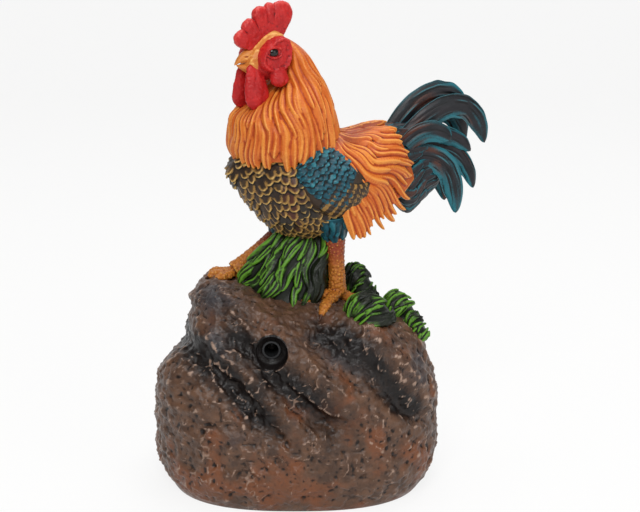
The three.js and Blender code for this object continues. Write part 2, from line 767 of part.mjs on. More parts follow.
// Root, bend and tip of each feather as shares of the tail's length, spread and rise
const feathers = [
  { root: [-0.12, 0, 0.36], bend: [0.32, 0.1, 0.96], tip: [0.78, 0.1, 0.68], width: 0.96 },
  { root: [0, 0.45, 0.32], bend: [0.78, 0.55, 1], tip: [1, 0.45, 0.24], width: 0.96 },
  { root: [0, 0.72, 0.28], bend: [0.25, 1, 0.52], tip: [0.52, 1, 0.32], width: 0.85 },
  { root: [0, 0.1, 0.24], bend: [0.55, 0.1, 0.48], tip: [0.88, 0, 0.14], width: 0.73 },
  { root: [0, -0.1, 0.16], bend: [0.78, -0.1, 0.36], tip: [0.95, -0.18, -0.26], width: 0.8 },
  { root: [0, 0.55, 0.12], bend: [0.6, 0.82, 0.28], tip: [0.63, 0.73, -0.46], width: 1 },
  { root: [0, -0.55, 0.3], bend: [0.7, -0.73, 0.88], tip: [0.9, -0.82, 0.2], width: 0.96 },
  { root: [0, -0.55, 0.1], bend: [0.6, -0.9, 0.28], tip: [0.66, -0.82, -0.4], width: 1 },
];
const featherLeaf = stations([0.55, 0.8, 1, 1, 0.85, 0.5]);
const featherForms = feathers.map(({ root, bend, tip, width }) => {
  const place = ([reach, side, rise]) =>
    new Vector3(tailRoot - reach * tailLength, side * tailSpread, torsoMiddle + rise * tailRise);
  return limb({
    curve: new THREE.QuadraticBezierCurve3(place(root), place(bend), place(tip)),
    radius: (t) => (featherThickness / 2) * Math.max(0.35, blunt(1 - t, 0.15)),
    flat: (t) => ((width * featherWidth) / featherThickness) * featherLeaf(t),
    count: 8,
    sides: 6,
  });
});

// Legs: feathered thigh, scaled shank, three toes forward and one back, with a steel wire through the middle

function onRock(x, y, lift) {
  const p = new Vector3(x, y, 0).applyMatrix4(birdToRow);
  return new Vector3(x, y, rockTop(p.x, p.y) + lift);
}
// The hock's place, as shares of the stride and of the stand height, the thigh's and toes' sizes,
// and the degrees that the foot turns out
const strides = {
  left: { side: 1, foot: frontFoot - stride, hip: 0.56, hock: [0.04, 0.487], thigh: 1, toes: 1, turn: 14 },
  right: { side: -1, foot: frontFoot, hip: 0.4, hock: [-0.54, 0.26], thigh: 0.8, toes: 0.65, turn: 0 },
};
const hipAngle = 130 * degree; // round from the back
const toeSpread = 43 * degree;
const backToe = 0.65; // length of the hind toe as a share of the others
const knuckles = 3;
function toeForm(heel, bearing, length) {
  const path = steps(3, (t) => {
    const x = heel.x + Math.cos(bearing) * length * t;
    const y = heel.y + Math.sin(bearing) * length * t;
    return t === 0 ? heel.clone() : onRock(x, y, toeRadius * mix(0.75, 0.1, t));
  });
  return limb({
    curve: new THREE.CatmullRomCurve3(path),
    radius: (t) => toeRadius * mix(1.15, 0.55, t) * (1 + 0.12 * Math.cos(t * knuckles * fullTurn)),
    count: 4,
    sides: 5,
  });
}
function legOf({ side, foot, hip, hock, thigh, toes, turn }) {
  const across = (side * stance) / 2;
  const heel = onRock(foot, across, shankRadius * 0.9);
  const knee = new Vector3(foot + hock[0] * stride, across, heel.z + hock[1] * standHeight);
  const socket = torsoPoint(hip, side * hipAngle, -rodEmbed);
  const shank = limb({
    curve: new THREE.LineCurve3(heel, knee.clone().lerp(socket, 0.12)),
    radius: (t) => shankRadius * (1.05 - 0.25 * Math.sin(Math.PI * t) + 0.2 * t),
    count: 4,
    sides: 8,
  });
  const bearings = [-toeSpread, 0, toeSpread, Math.PI];
  const rod = new THREE.CatmullRomCurve3([
    onRock(foot, across, -rodEmbed),
    onRock(foot, across, 0),
    heel.clone().lerp(knee, 0.25),
    knee.clone().lerp(heel, 0.2),
    knee.clone().lerp(socket, 0.55),
    socket,
  ]);
  const thighForm = limb({
    curve: new THREE.LineCurve3(torsoPoint(hip, side * hipAngle, -thighEmbed), knee),
    radius: (t) =>
      mix(thighRadius * thigh, shankRadius * 1.35, t ** 0.8) * Math.max(0.5, blunt(1 - t, 0.06)),
    flat: () => 0.85,
    count: 4,
    sides: 10,
  });
  return {
    shank,
    toes: bearings.map((bearing) => {
      const share = bearing === Math.PI ? backToe : 1;
      return toeForm(heel, bearing + side * turn * degree, toeLength * toes * share);
    }),
    rod,
    thighForm,
  };
}
const legs = { left: legOf(strides.left), right: legOf(strides.right) };
const rodWire = (leg, gap = 0) => wire(leg.rod, rodDiameter / 2 + gap, 6, 5);

// Bird assembly: each casting is cut to seat on the ones before it

const sides = [
  ["left", 1],
  ["right", -1],
];
const bothSides = (make) => sides.map(([name, side]) => make(side, name));
const capeCutter = grown(capeForm);
const headCutter = grown(headForm);
const combCutter = grown(combForm);
const upperBeakCutter = grown(upperBeakForm);
const lowerBeakCutter = grown(lowerBeakForm);
const tailCutter = grown(tailForm);
const rockInBird = grown(moved(rockForm, rowToBird));
const eyeSockets = bothSides((side) => solidOf(eyeForm(side, glueGap)));
const wattleCutters = bothSides((side) => grown(wattleForm(side)));
const wingCutters = bothSides((side) => grown(wingForm(side)));
const saddleCutters = bothSides((side) => grown(saddleForm(side)));
const thighCutters = bothSides((side, name) => grown(legs[name].thighForm));
const rodBores = bothSides((side, name) => solidOf(rodWire(legs[name], glueGap)));

piece("torso", cut(solidOf(torsoForm), ...rodBores), breastBrown, bird);
piece("neck_hackle", cut(solidOf(capeForm), torsoCutter, headCutter), hackleOrange, bird);
piece("head", cut(solidOf(headForm), ...eyeSockets), skinOrange, bird);
piece("comb", cut(solidOf(combForm), headCutter, capeCutter), combRed, bird);
piece("beak_upper", cut(solidOf(upperBeakForm), headCutter, combCutter), skinOrange, bird);
piece("beak_lower", cut(solidOf(lowerBeakForm), headCutter, upperBeakCutter), skinOrange, bird);
sides.forEach(([name, side], i) => {
  const leg = legs[name];
  const firstOf = (cutters) => cutters.slice(0, i);
  const faceSeat = [headCutter, capeCutter, upperBeakCutter, lowerBeakCutter];
  const wattle = cut(solidOf(wattleForm(side)), ...faceSeat, ...firstOf(wattleCutters));
  const face = join(solidOf(faceForm(side)), solidOf(earlobeForm(side)));
  const faceGaps = [...faceSeat, ...wattleCutters, eyeSockets[i], combCutter];
  const wing = cut(solidOf(wingForm(side)), torsoCutter, capeCutter);
  const saddleSeat = [torsoCutter, capeCutter, ...wingCutters, ...firstOf(saddleCutters)];
  const thighSeat = [torsoCutter, rodBores[i], ...wingCutters, ...saddleCutters];
  const foot = join(solidOf(leg.shank), ...leg.toes.map(solidOf));
  piece(`wattle_${name}`, wattle, combRed, bird);
  piece(`face_${name}`, cut(face, ...faceGaps), combRed, bird);
  piece(`eye_${name}`, eyeForm(side), eyeBlack, bird);
  piece(`wing_${name}`, wing, wingTeal, bird);
  piece(`saddle_${name}`, cut(solidOf(saddleForm(side)), ...saddleSeat), hackleOrange, bird);
  piece(`thigh_${name}`, cut(solidOf(leg.thighForm), ...thighSeat), wingTeal, bird);
  piece(`leg_${name}`, cut(foot, torsoCutter, thighCutters[i], rockInBird, rodBores[i]), shankOrange, bird);
  piece(`leg_rod_${name}`, rodWire(leg), steel, bird);
});
piece("tail_core", cut(solidOf(tailForm), torsoCutter, ...saddleCutters), tailSlate, bird);
const featherCutters = featherForms.map((form) => grown(form));
featherForms.forEach((form, i) => {
  const seat = [tailCutter, torsoCutter, ...saddleCutters, ...featherCutters.slice(0, i)];
  piece(`tail_feather_${i + 1}`, cut(solidOf(form), ...seat), tailSlate, bird);
});

// Grass: a fluted sheaf that spreads from the belly to the crown, and round tufts combed over one way

const sheafCrown = 0.46; // width of the sheaf under the belly, as a share of its foot's
const sheafBelly = 0.12; // that it bulges half-way up
const sheafTwist = 0.5; // radians that its blades wind on their way up
const fluteDepth = 0.13;
function sheafForm({ foot, crown, blades }) {
  const top = torsoMiddle - torsoDepth / 2 + sheafEmbed;
  return loft(
    steps(3, (t) => {
      const swell = mix(1, sheafCrown, t) + sheafBelly * Math.sin(Math.PI * t);
      return ringOf(blades * 2, (a) => {
        const flute = 1 + fluteDepth * Math.cos(a * blades) * smooth(0, 0.2, t);
        const lean = a + sheafTwist * t;
        const x = mix(foot[0], crown[0], t) + (sheafWidth / 2) * swell * flute * Math.cos(lean);
        const y = mix(foot[1], crown[1], t) + (sheafDepth / 2) * swell * flute * Math.sin(lean);
        return new Vector3(x, y, mix(rockTop(x, y) - grassRoot, top, t));
      });
    }),
  );
}
// Each level of a tuft: how far out and up it lies, and how much its blades stand out there
const tuftLevels = [
  { reach: 0.85, rise: 0, comb: 0 },
  { reach: 1.1, rise: 0.4, comb: 0.1 },
  { reach: 0.85, rise: 0.82, comb: 0.12 },
  { reach: 0.35, rise: 1, comb: 0.05 },
];
function tuftForm({ place, wide, deep, tall, blades }) {
  const [x, y] = place;
  const foot = rockTop(x, y) - grassRoot;
  return loft(
    tuftLevels.map(({ reach, rise, comb }) =>
      ringOf(blades * 2, (a) => {
        const r = tuftRadius * (reach + comb * Math.cos(a * blades));
        const up = rise > 0 ? grassRoot + tuftHeight * tall * rise : 0;
        return new Vector3(
          x + wide * r * Math.cos(a) - tuftLean * rise,
          y + deep * r * Math.sin(a),
          foot + up,
        );
      }),
    ),
  );
}
const onCrown = (x, y) => [(x * rockWidth) / 2, (y * rockDepth) / 2];
const tufts = {
  grass_centre: sheafForm({ foot: onCrown(-0.08, 0), crown: onCrown(0.05, 0.07), blades: 6 }),
  grass_back: tuftForm({ place: onCrown(0.46, 0.29), wide: 0.95, deep: 0.88, tall: 1.6, blades: 6 }),
  grass_front: tuftForm({ place: onCrown(0.51, -0.33), wide: 1.5, deep: 1, tall: 1.1, blades: 8 }),
  grass_side: tuftForm({ place: onCrown(0.74, 0.03), wide: 1.06, deep: 1, tall: 1, blades: 7 }),
  grass_edge: tuftForm({ place: onCrown(0.86, -0.1), wide: 0.63, deep: 0.69, tall: 0.9, blades: 5 }),
};
const birdSeats = [
  grown(inRow(torsoForm)),
  ...sides.flatMap(([name]) => [
    grown(inRow(legs[name].shank)),
    grown(inRow(legs[name].thighForm)),
    ...legs[name].toes.map((toe) => grown(inRow(toe))),
  ]),
];
const rockCutter = grown(rockForm);
const tuftCutters = Object.values(tufts).map((form) => grown(form));
Object.entries(tufts).forEach(([name, form], i) => {
  const seat = [rockCutter, ...birdSeats, ...tuftCutters.slice(0, i)];
  piece(name, cut(solidOf(form), ...seat), grassGreen);
});

// Rock casting: hollow, open below, with four bosses, a sensor bore and sockets for the leg wires

const plateTop = plateRecess + plateThickness;
const boreSides = 14;
function openingPoint(angle, inset) {
  const reach = footprintReach(angle, 0) * (1 - footTuck / (rockWidth / 2)) - rimWidth - inset;
  return new Vector2(reach * Math.cos(angle), reach * Math.sin(angle));
}
const flatSlab = (shape, depth, z) =>
  new THREE.ExtrudeGeometry(shape, { depth, bevelEnabled: false }).translate(0, 0, z);
const openingShape = (inset) => new THREE.Shape(ringOf(24, (a) => openingPoint(a, inset)));
const openingForm = flatSlab(openingShape(0), lipHeight + 2 * overcut, -overcut);
const cavityForm = loft(
  rockRings(6, 18, rockWall, false).map((ring) =>
    ring.map((p) => p.setZ(mix(lipHeight, rockHeight, p.z / rockHeight))),
  ),
);
const bossBearings = [40, 140, 220, 320].map((bearing) => bearing * degree);
const bossPlaces = bossBearings.map((bearing) => openingPoint(bearing, bossDiameter * 0.75));
const bossFoot = plateTop + seatGap;
function bossForm(place, bearing) {
  const heights = [bossFoot, bossFoot + bossHeight];
  const ribReach = rimWidth + rockWall + bossDiameter / 2;
  const rib = boxAt([0, ribReach], around(0, bossDiameter * 0.8), heights).rotateZ(bearing);
  const post = postAt(place.x, place.y, heights, bossDiameter / 2, 10);
  return join(solidOf(post), solidOf(rib.translate(place.x, place.y, 0))).intersect(rockSolid);
}
const bosses = bossPlaces.map((place, i) => bossForm(place, bossBearings[i]));
const screwBore = ({ x, y }) =>
  solidOf(postAt(x, y, [0, plateTop + screwLength], screwShank / 2 + glueGap, 8));
const screwBores = bossPlaces.map(screwBore);
const sensorFront = rockFront(sensorX, sensorHeight) + mouthDepth;
const alongY = (geometry, y) => geometry.rotateX(-Math.PI / 2).translate(sensorX, y, sensorHeight);
const sensorBore = (reach, radius) => solidOf(alongY(postAt(0, 0, reach, radius, boreSides), sensorFront));
const mouthBore = sensorBore([-rockDepth / 2, 0], mouthDiameter / 2);
const tubeSeat = sensorBore([-overcut, tubeLength + rockWall], tubeDiameter / 2 + seatGap);
const rodSockets = bothSides((side, name) => solidOf(inRow(rodWire(legs[name], glueGap))));
const rockShell = cut(rockSolid, solidOf(cavityForm), solidOf(openingForm));
piece(
  "rock_base",
  cut(join(rockShell, ...bosses), ...screwBores, mouthBore, tubeSeat, ...rodSockets),
  rockBrown,
);

// Motion sensor: a black tube glued into the bore, with a domed photo sensor at its inner end

const tubeFront = sensorFront + seatGap;
const tubeProfile = [
  [tubeBore / 2, 0],
  [tubeDiameter / 2, 0],
  [tubeDiameter / 2, tubeLength],
  [tubeBore / 2, tubeLength],
  [tubeBore / 2, 0],
];
const lensRadius = tubeBore / 2 - seatGap;
const lensBack = tubeLength + lensTail;
const lensProfile = [
  [0, lensSet],
  [lensRadius * 0.6, lensSet + lensRadius * 0.2],
  [lensRadius * 0.95, lensSet + lensRadius * 0.7],
  [lensRadius, lensBack],
  [0, lensBack],
];
piece("sensor_tube", alongY(turned(tubeProfile, boreSides), tubeFront), mouldedBlack);
piece("photo_sensor", alongY(turned(lensProfile, 10), tubeFront), eyeBlack);

// Base plate: closes the opening, carries the battery bay, the speaker, the switch and the board

const bayLength = cellLength + nubHeight + springLength + 2 * contactThickness + 3 * seatGap + slideGap;
const bayWidth = 2 * cellDiameter + 5 * slideGap;
const bayX = bayLength / 2;
const openingEdge = openingPoint(-Math.PI / 2, 0).y;
const bayCentre = openingEdge + bayMargin + bayWall + bayWidth / 2;
const bayX01 = around(0, bayLength);
const bayY01 = around(bayCentre, bayWidth);
const doorTop = plateRecess + doorThickness;
const cellHeight = doorTop + seatGap + cellDiameter / 2;
const bayRoof = cellHeight + cellDiameter / 2 + slideGap;
const bayTop = bayRoof + bayWall;
const widened = ([low, high], by) => [low - by, high + by];
const bayOuter = boxAt(widened(bayX01, bayWall), widened(bayY01, bayWall), [plateRecess, bayTop]);
const bayInner = boxAt(bayX01, bayY01, [0, bayRoof]);

const speakerR = speakerDiameter / 2;
const speakerY = bayY01[1] + bayWall + speakerGap + speakerR;
const through = [0, plateTop + overcut];
const grilleCounts = [1, 5, 8]; // holes in the middle and in each ring round it
const grilleHoles = grilleCounts.flatMap((count, ring) =>
  ringOf(count, (a) => {
    const x = speakerX + ring * grillePitch * Math.cos(a);
    const y = speakerY + ring * grillePitch * Math.sin(a);
    return solidOf(postAt(x, y, through, grilleHole / 2, 6));
  }),
);
const switchY = speakerY;
const slotX = switchTravel + knobLength + 2 * slideGap;
const slotY = knobWidth + 2 * slideGap;
const switchSlot = boxAt(around(switchX, slotX), around(switchY, slotY), through);
const standoffTop = bayTop + standoffHeight;
const standoffPlace = boardLength * 0.42;
const standoffs = [-1, 1].map((end) =>
  solidOf(
    boxAt(
      around(end * standoffPlace, standoffWidth),
      around(bayCentre, boardWidth * 0.6),
      [bayRoof + bayWall / 2, standoffTop],
    ),
  ),
);
// Notches for the door's trunnions open downwards, and a thumb notch lets the door be lifted
const hingeY = bayY01[1] - doorThickness / 2 - slideGap;
const hingeZ = plateRecess + doorThickness / 2;
const notchWidth = trunnionDiameter + 2 * slideGap;
const trunnionNotches = [-1, 1].map((end) =>
  solidOf(
    boxAt(
      around(end * bayX, 2 * (trunnionLength + slideGap)),
      around(hingeY, notchWidth),
      [0, hingeZ + notchWidth / 2],
    ),
  ),
);
const thumbNotch = solidOf(postAt(0, bayY01[0], [0, plateRecess + thumbDepth], thumbDiameter / 2, 14));
const plateForm = flatSlab(openingShape(slideGap), plateThickness, plateRecess);
const plateBody = cut(join(solidOf(plateForm), solidOf(bayOuter)), solidOf(bayInner), solidOf(switchSlot));
piece(
  "base_plate",
  cut(join(plateBody, ...standoffs), ...screwBores, ...grilleHoles, ...trunnionNotches, thumbNotch),
  mouldedBlack,
);

// Battery door: swings down on two moulded trunnions

const doorLength = bayLength - 2 * slideGap;
const doorFar = bayY01[0] + slideGap;
const doorProfile = new THREE.Shape();
doorProfile.moveTo(doorFar, plateRecess);
doorProfile.lineTo(hingeY, plateRecess);
doorProfile.absarc(hingeY, hingeZ, doorThickness / 2, -Math.PI / 2, Math.PI / 2, false);
doorProfile.lineTo(doorFar, doorTop);
const doorForm = new THREE.ExtrudeGeometry(doorProfile, {
  depth: doorLength,
  bevelEnabled: false,
  curveSegments: 8,
})
  .rotateX(Math.PI / 2)
  .rotateZ(Math.PI / 2)
  .translate(-doorLength / 2, 0, 0);
const trunnionForm = postAt(0, 0, around(0, doorLength + 2 * trunnionLength), trunnionDiameter / 2, 10)
  .rotateY(Math.PI / 2)
  .translate(0, hingeY, hingeZ);
piece("battery_door", join(solidOf(doorForm), solidOf(trunnionForm)), mouldedBlack);

// Cells and contacts: two cells head to tail, bridged at one end

const cellR = cellDiameter / 2;
const cellPlaces = [-1, 1].map((side) => bayCentre + side * (cellR + slideGap));
const cellProfile = [
  [0, 0],
  [cellR - cellEdge, 0],
  [cellR, cellEdge],
  [cellR, cellLength - cellEdge],
  [cellR - cellEdge, cellLength],
  [nubDiameter / 2, cellLength],
  [nubDiameter / 2, cellLength + nubHeight],
  [0, cellLength + nubHeight],
];
const stripInner = bayX - seatGap - contactThickness;
const cellStart = stripInner - springLength - seatGap;
[1, -1].forEach((way, i) => {
  const cell = piece(`cell_${i + 1}`, turned(cellProfile, 10), cellGreen);
  cell.position.set(-way * cellStart, cellPlaces[i], cellHeight);
  cell.rotation.y = (way * Math.PI) / 2;
});

// A conical coil, closing towards its tip, as one tube
const stepsPerTurn = 8;
const springEmbed = contactThickness * 0.4; // that the coil's first turn is let into its strip
const springPath = steps(springTurns * stepsPerTurn, (t) => {
  const a = t * springTurns * fullTurn;
  const r = mix(springWide, springNarrow, t) / 2;
  const z = mix(springWire / 2, springLength - springWire / 2, t) - springEmbed;
  return new Vector3(r * Math.cos(a), r * Math.sin(a), z);
});
const springGaps = springPath.flatMap((p, i) =>
  springPath.slice(i + stepsPerTurn / 2).map((q) => p.distanceTo(q) - springWire),
);
console.log(`least gap between the turns of a coil: ${Math.min(...springGaps).toFixed(2)} mm`);
const springForm = wire(
  new THREE.CatmullRomCurve3(springPath),
  springWire / 2,
  springTurns * stepsPerTurn,
  5,
);
const stripHeights = [doorTop + seatGap + contactLift, bayRoof - seatGap];
const stripAt = (end, y01) =>
  solidOf(boxAt(around(end * (stripInner + contactThickness / 2), contactThickness), y01, stripHeights));
function springAt(end, y) {
  const turnIn = new THREE.Matrix4().makeRotationY((-end * Math.PI) / 2);
  return solidOf(moved(springForm, turnIn.setPosition(end * stripInner, y, cellHeight)));
}
const [farCell, nearCell] = cellPlaces;
const bridge = [farCell - contactWidth / 2, nearCell + contactWidth / 2];
piece("contact_bridge", join(stripAt(-1, bridge), springAt(-1, farCell)), nickel);
piece("contact_positive", stripAt(1, around(farCell, contactWidth)), nickel);
piece("contact_negative", join(stripAt(1, around(nearCell, contactWidth)), springAt(1, nearCell)), nickel);

// Speaker: pressed basket, paper cone and magnet, over the grille

const magnetR = magnetDiameter / 2;
const coneR = speakerR * 0.86;
const coilR = magnetR * 0.6;
const flange = speakerSheet * 1.3;
const basketProfile = [
  [coneR, 0],
  [speakerR, 0],
  [speakerR, flange],
  [speakerR * 0.9, flange],
  [magnetR + speakerSheet, speakerHeight],
  [coilR, speakerHeight],
  [coilR, speakerHeight - speakerSheet],
  [magnetR + speakerSheet / 2, speakerHeight - speakerSheet],
  [coneR, speakerSheet],
  [coneR, 0],
];
const coneTop = speakerHeight - speakerSheet - coneGap;
const coneFoot = coneGap;
const coneProfile = [
  [0, coneTop - coneSheet],
  [coilR, coneTop - coneSheet],
  [coneR - coneGap, coneFoot - coneSheet / 4],
  [coneR - coneGap, coneFoot + coneSheet / 4],
  [coilR, coneTop],
  [0, coneTop],
];
const magnetProfile = [
  [0, speakerHeight + seatGap],
  [magnetR, speakerHeight + seatGap],
  [magnetR, speakerHeight + magnetHeight],
  [0, speakerHeight + magnetHeight],
];
[
  piece("speaker_basket", turned(basketProfile, 12), steel),
  piece("speaker_cone", turned(coneProfile, 12), conePaper),
  piece("speaker_magnet", turned(magnetProfile, 12), steel),
].forEach((mesh) => mesh.position.set(speakerX, speakerY, plateTop + seatGap));

// Circuit board over the bay, with its chip under a drop of resin

const boardZ = standoffTop + seatGap;
const boardTop = boardZ + boardThickness;
const boardForm = boxAt(around(0, boardLength), around(bayCentre, boardWidth), [boardZ, boardTop]);
piece("circuit_board", boardForm, boardGreen);
const chipProfile = [
  [0, 0],
  [chipDiameter * 0.5, 0],
  [chipDiameter * 0.44, chipHeight * 0.5],
  [chipDiameter * 0.26, chipHeight * 0.88],
  [0, chipHeight],
];
const chip = piece("sound_chip", turned(chipProfile, 10), mouldedBlack);
chip.position.set(chipX, bayCentre, boardTop + seatGap);

// Slide switch: case on the plate, knob through its slot, at the off end of its travel

const knobTop = plateTop + knobStem;
const caseForm = boxAt(
  around(0, switchLength),
  around(0, switchWidth),
  [plateTop + seatGap, plateTop + switchHeight],
);
const casePocket = boxAt(around(0, slotX), around(0, slotY), [plateTop, knobTop + slideGap]);
const knobForm = boxAt(
  around(-switchTravel / 2, knobLength),
  around(0, knobWidth),
  [plateRecess - knobProud, knobTop],
);
[
  piece("switch_case", cut(solidOf(caseForm), solidOf(casePocket)), nickel),
  piece("switch_knob", knobForm, mouldedBlack),
].forEach((mesh) => mesh.position.set(switchX, switchY, 0));

// Leads: sensor to board and speaker to board

const leadTop = boardTop + seatGap;
const lensEnd = tubeFront + lensBack + seatGap;
const speakerTag = [speakerX - speakerR * 0.67, speakerY - speakerR * 0.44];
const tagHeight = plateTop + speakerHeight;
const leads = {
  sensor_lead: [
    [sensorX, lensEnd, sensorHeight],
    [sensorX, lensEnd + leadLoop * 0.6, sensorHeight],
    [sensorX, lensEnd + leadLoop * 1.2, sensorHeight - leadLoop * 2],
    [sensorX + leadSway, bayCentre + leadLoop, leadTop + leadLoop * 2.7],
    [sensorX + leadSway, bayCentre, leadTop + leadLoop],
    [sensorX + leadSway, bayCentre, leadTop],
  ],
  speaker_lead: [
    [...speakerTag, tagHeight],
    [...speakerTag, tagHeight + leadLoop],
    [chipX - chipDiameter, bayCentre + boardWidth / 2, leadTop + leadLoop * 1.2],
    [chipX - chipDiameter - leadSway, bayCentre + boardWidth * 0.2, leadTop + leadLoop * 0.8],
    [chipX - chipDiameter - leadSway, bayCentre + boardWidth * 0.2, leadTop],
  ],
};
Object.entries(leads).forEach(([name, route]) => {
  const curve = new THREE.CatmullRomCurve3(route.map((p) => new Vector3(...p)));
  piece(name, wire(curve, leadDiameter / 2, 8, 5), leadRed);
});

// Screws hold the plate to the bosses

const screwProfile = [
  [0, 0],
  [screwHead * 0.4, 0],
  [screwHead / 2, screwHeadHeight * 0.4],
  [screwHead / 2, screwHeadHeight],
  [screwShank / 2, screwHeadHeight],
  [screwShank / 2, screwLength],
  [0, screwLength + screwPoint],
];
bossPlaces.forEach((place, i) => {
  const screw = piece(`plate_screw_${i + 1}`, turned(screwProfile, 6), steel);
  screw.position.set(place.x, place.y, plateRecess - screwHeadHeight - seatGap);
});

// The origin moves under the middle of the object's box
const extents = new THREE.Box3().setFromObject(sculpture, true);
const middle = extents.getCenter(new Vector3());
sculpture.position.set(-middle.x, -middle.y, -extents.min.z);

export default sculpture;
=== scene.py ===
"""Painted resin rooster on a hollow rock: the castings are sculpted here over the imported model's frame."""

import math

import bmesh
import bpy
import numpy as np
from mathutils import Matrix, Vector
from mathutils.kdtree import KDTree


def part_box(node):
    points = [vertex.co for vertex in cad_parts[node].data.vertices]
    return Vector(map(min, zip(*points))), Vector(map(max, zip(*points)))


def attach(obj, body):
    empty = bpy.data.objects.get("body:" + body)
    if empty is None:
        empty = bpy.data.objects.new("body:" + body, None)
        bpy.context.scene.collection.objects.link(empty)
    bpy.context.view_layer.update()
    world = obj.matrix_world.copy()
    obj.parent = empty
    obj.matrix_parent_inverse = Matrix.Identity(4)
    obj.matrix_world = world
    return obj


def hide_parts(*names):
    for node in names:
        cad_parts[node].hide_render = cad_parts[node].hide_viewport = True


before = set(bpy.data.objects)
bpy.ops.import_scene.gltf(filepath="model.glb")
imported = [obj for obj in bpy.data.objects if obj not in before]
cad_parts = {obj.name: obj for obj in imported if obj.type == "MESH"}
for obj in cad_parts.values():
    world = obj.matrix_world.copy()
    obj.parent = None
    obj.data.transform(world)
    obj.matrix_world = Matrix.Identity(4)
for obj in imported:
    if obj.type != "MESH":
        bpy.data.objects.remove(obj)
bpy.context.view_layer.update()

MM = 0.001
TURN = 2 * math.pi
DEGREE = math.pi / 180
SIDES = {"left": 1, "right": -1}
scene = bpy.context.scene

# Camera: a short telephoto in front of the rock, a little above it

camera_lens = 85.0
camera_sensor = 36.0
camera_distance = 0.756
camera_rise = 15 * DEGREE
camera_aim = Vector((-0.0006, 0.0, 0.115))


def place_camera():
    data = bpy.data.cameras.new("photo_camera")
    data.lens = camera_lens
    data.sensor_width = camera_sensor
    camera = bpy.data.objects.new("photo_camera", data)
    scene.collection.objects.link(camera)
    back = Vector((0, -math.cos(camera_rise), math.sin(camera_rise)))
    camera.location = camera_aim + back * camera_distance
    camera.rotation_mode = "QUATERNION"
    camera.rotation_quaternion = (-back).to_track_quat("-Z", "Y")
    scene.camera = camera


place_camera()
scene.view_settings.view_transform = "Standard"

# Finishes

blotch_detail, grain_detail = 5.0, 3.0  # octaves of the two noises
blotch_edges = (0.36, 0.64)  # of the noise, where one body colour gives way to the other
fray_width = 0.22  # that the grain moves the edge of a layer of colour
varnish = {"IOR": 1.38}
mix_share, mix_first, mix_last, mix_result = 0, 6, 7, 2  # the mix node's sockets when it mixes colours


def linear(written):
    """A written sRGB colour as the linear values that a shader takes."""
    knee, slope, offset, power = 0.04045, 12.92, 0.055, 2.4
    channels = [int(written[i : i + 2], 16) / 255 for i in (1, 3, 5)]
    return [c / slope if c <= knee else ((c + offset) / (1 + offset)) ** power for c in channels] + [1.0]


def add(tree, kind, inputs=None, **settings):
    """Adds a node: its settings, and for each socket a value or the socket that feeds it."""
    made = tree.nodes.new(kind)
    for name, value in settings.items():
        setattr(made, name, value)
    for socket, value in (inputs or {}).items():
        if isinstance(value, bpy.types.NodeSocket):
            tree.links.new(value, made.inputs[socket])
        else:
            made.inputs[socket].default_value = value
    return made


def finish(name, body, blotch, grain, bump, rough, layers=(), metal=0.0, **sockets):
    """A finish with two body colours in blotches, a grain that shows as bump, and layers of colour on top.

    blotch and grain are sizes in mm, bump the grain's height in mm. Each layer is (mark, from, to, colour):
    the colour comes in as that mark of the mesh goes from the first value to the second.
    """
    material = bpy.data.materials.new(name)
    material.use_nodes = True
    tree = material.node_tree
    tree.nodes.clear()
    place = add(tree, "ShaderNodeTexCoord").outputs["Object"]
    blotches = {"Vector": place, "Scale": 1 / (blotch * MM), "Detail": blotch_detail}
    patches = add(tree, "ShaderNodeTexNoise", blotches).outputs["Fac"]
    bristles = {"Vector": place, "Scale": 1 / (grain * MM), "Detail": grain_detail}
    grains = add(tree, "ShaderNodeTexNoise", bristles).outputs["Fac"]
    edges = {"Value": patches, "From Min": blotch_edges[0], "From Max": blotch_edges[1]}
    share = add(tree, "ShaderNodeMapRange", edges).outputs["Result"]
    colours = {mix_share: share, mix_first: linear(body[0]), mix_last: linear(body[1])}
    colour = add(tree, "ShaderNodeMix", colours, data_type="RGBA").outputs[mix_result]
    frays = {"Value": grains, "To Min": -fray_width, "To Max": fray_width}
    fray = add(tree, "ShaderNodeMapRange", frays).outputs["Result"]
    for mark, first, last, paint in layers:
        value = add(tree, "ShaderNodeAttribute", attribute_name=mark).outputs["Fac"]
        frayed = add(tree, "ShaderNodeMath", {0: value, 1: fray}, operation="ADD").outputs[0]
        edges = {"Value": frayed, "From Min": first, "From Max": last}
        share = add(tree, "ShaderNodeMapRange", edges, interpolation_type="SMOOTHSTEP").outputs["Result"]
        colours = {mix_share: share, mix_first: colour, mix_last: linear(paint)}
        colour = add(tree, "ShaderNodeMix", colours, data_type="RGBA").outputs[mix_result]
    sheens = {"Value": patches, "To Min": rough[0], "To Max": rough[1]}
    bumps = {"Height": grains, "Strength": 1.0, "Distance": bump * MM}
    looks = {
        "Base Color": colour,
        "Roughness": add(tree, "ShaderNodeMapRange", sheens).outputs["Result"],
        "Normal": add(tree, "ShaderNodeBump", bumps).outputs["Normal"],
        "Metallic": metal,
    }
    shader = add(tree, "ShaderNodeBsdfPrincipled", {**looks, **sockets})
    add(tree, "ShaderNodeOutputMaterial", {"Surface": shader.outputs["BSDF"]})
    return material


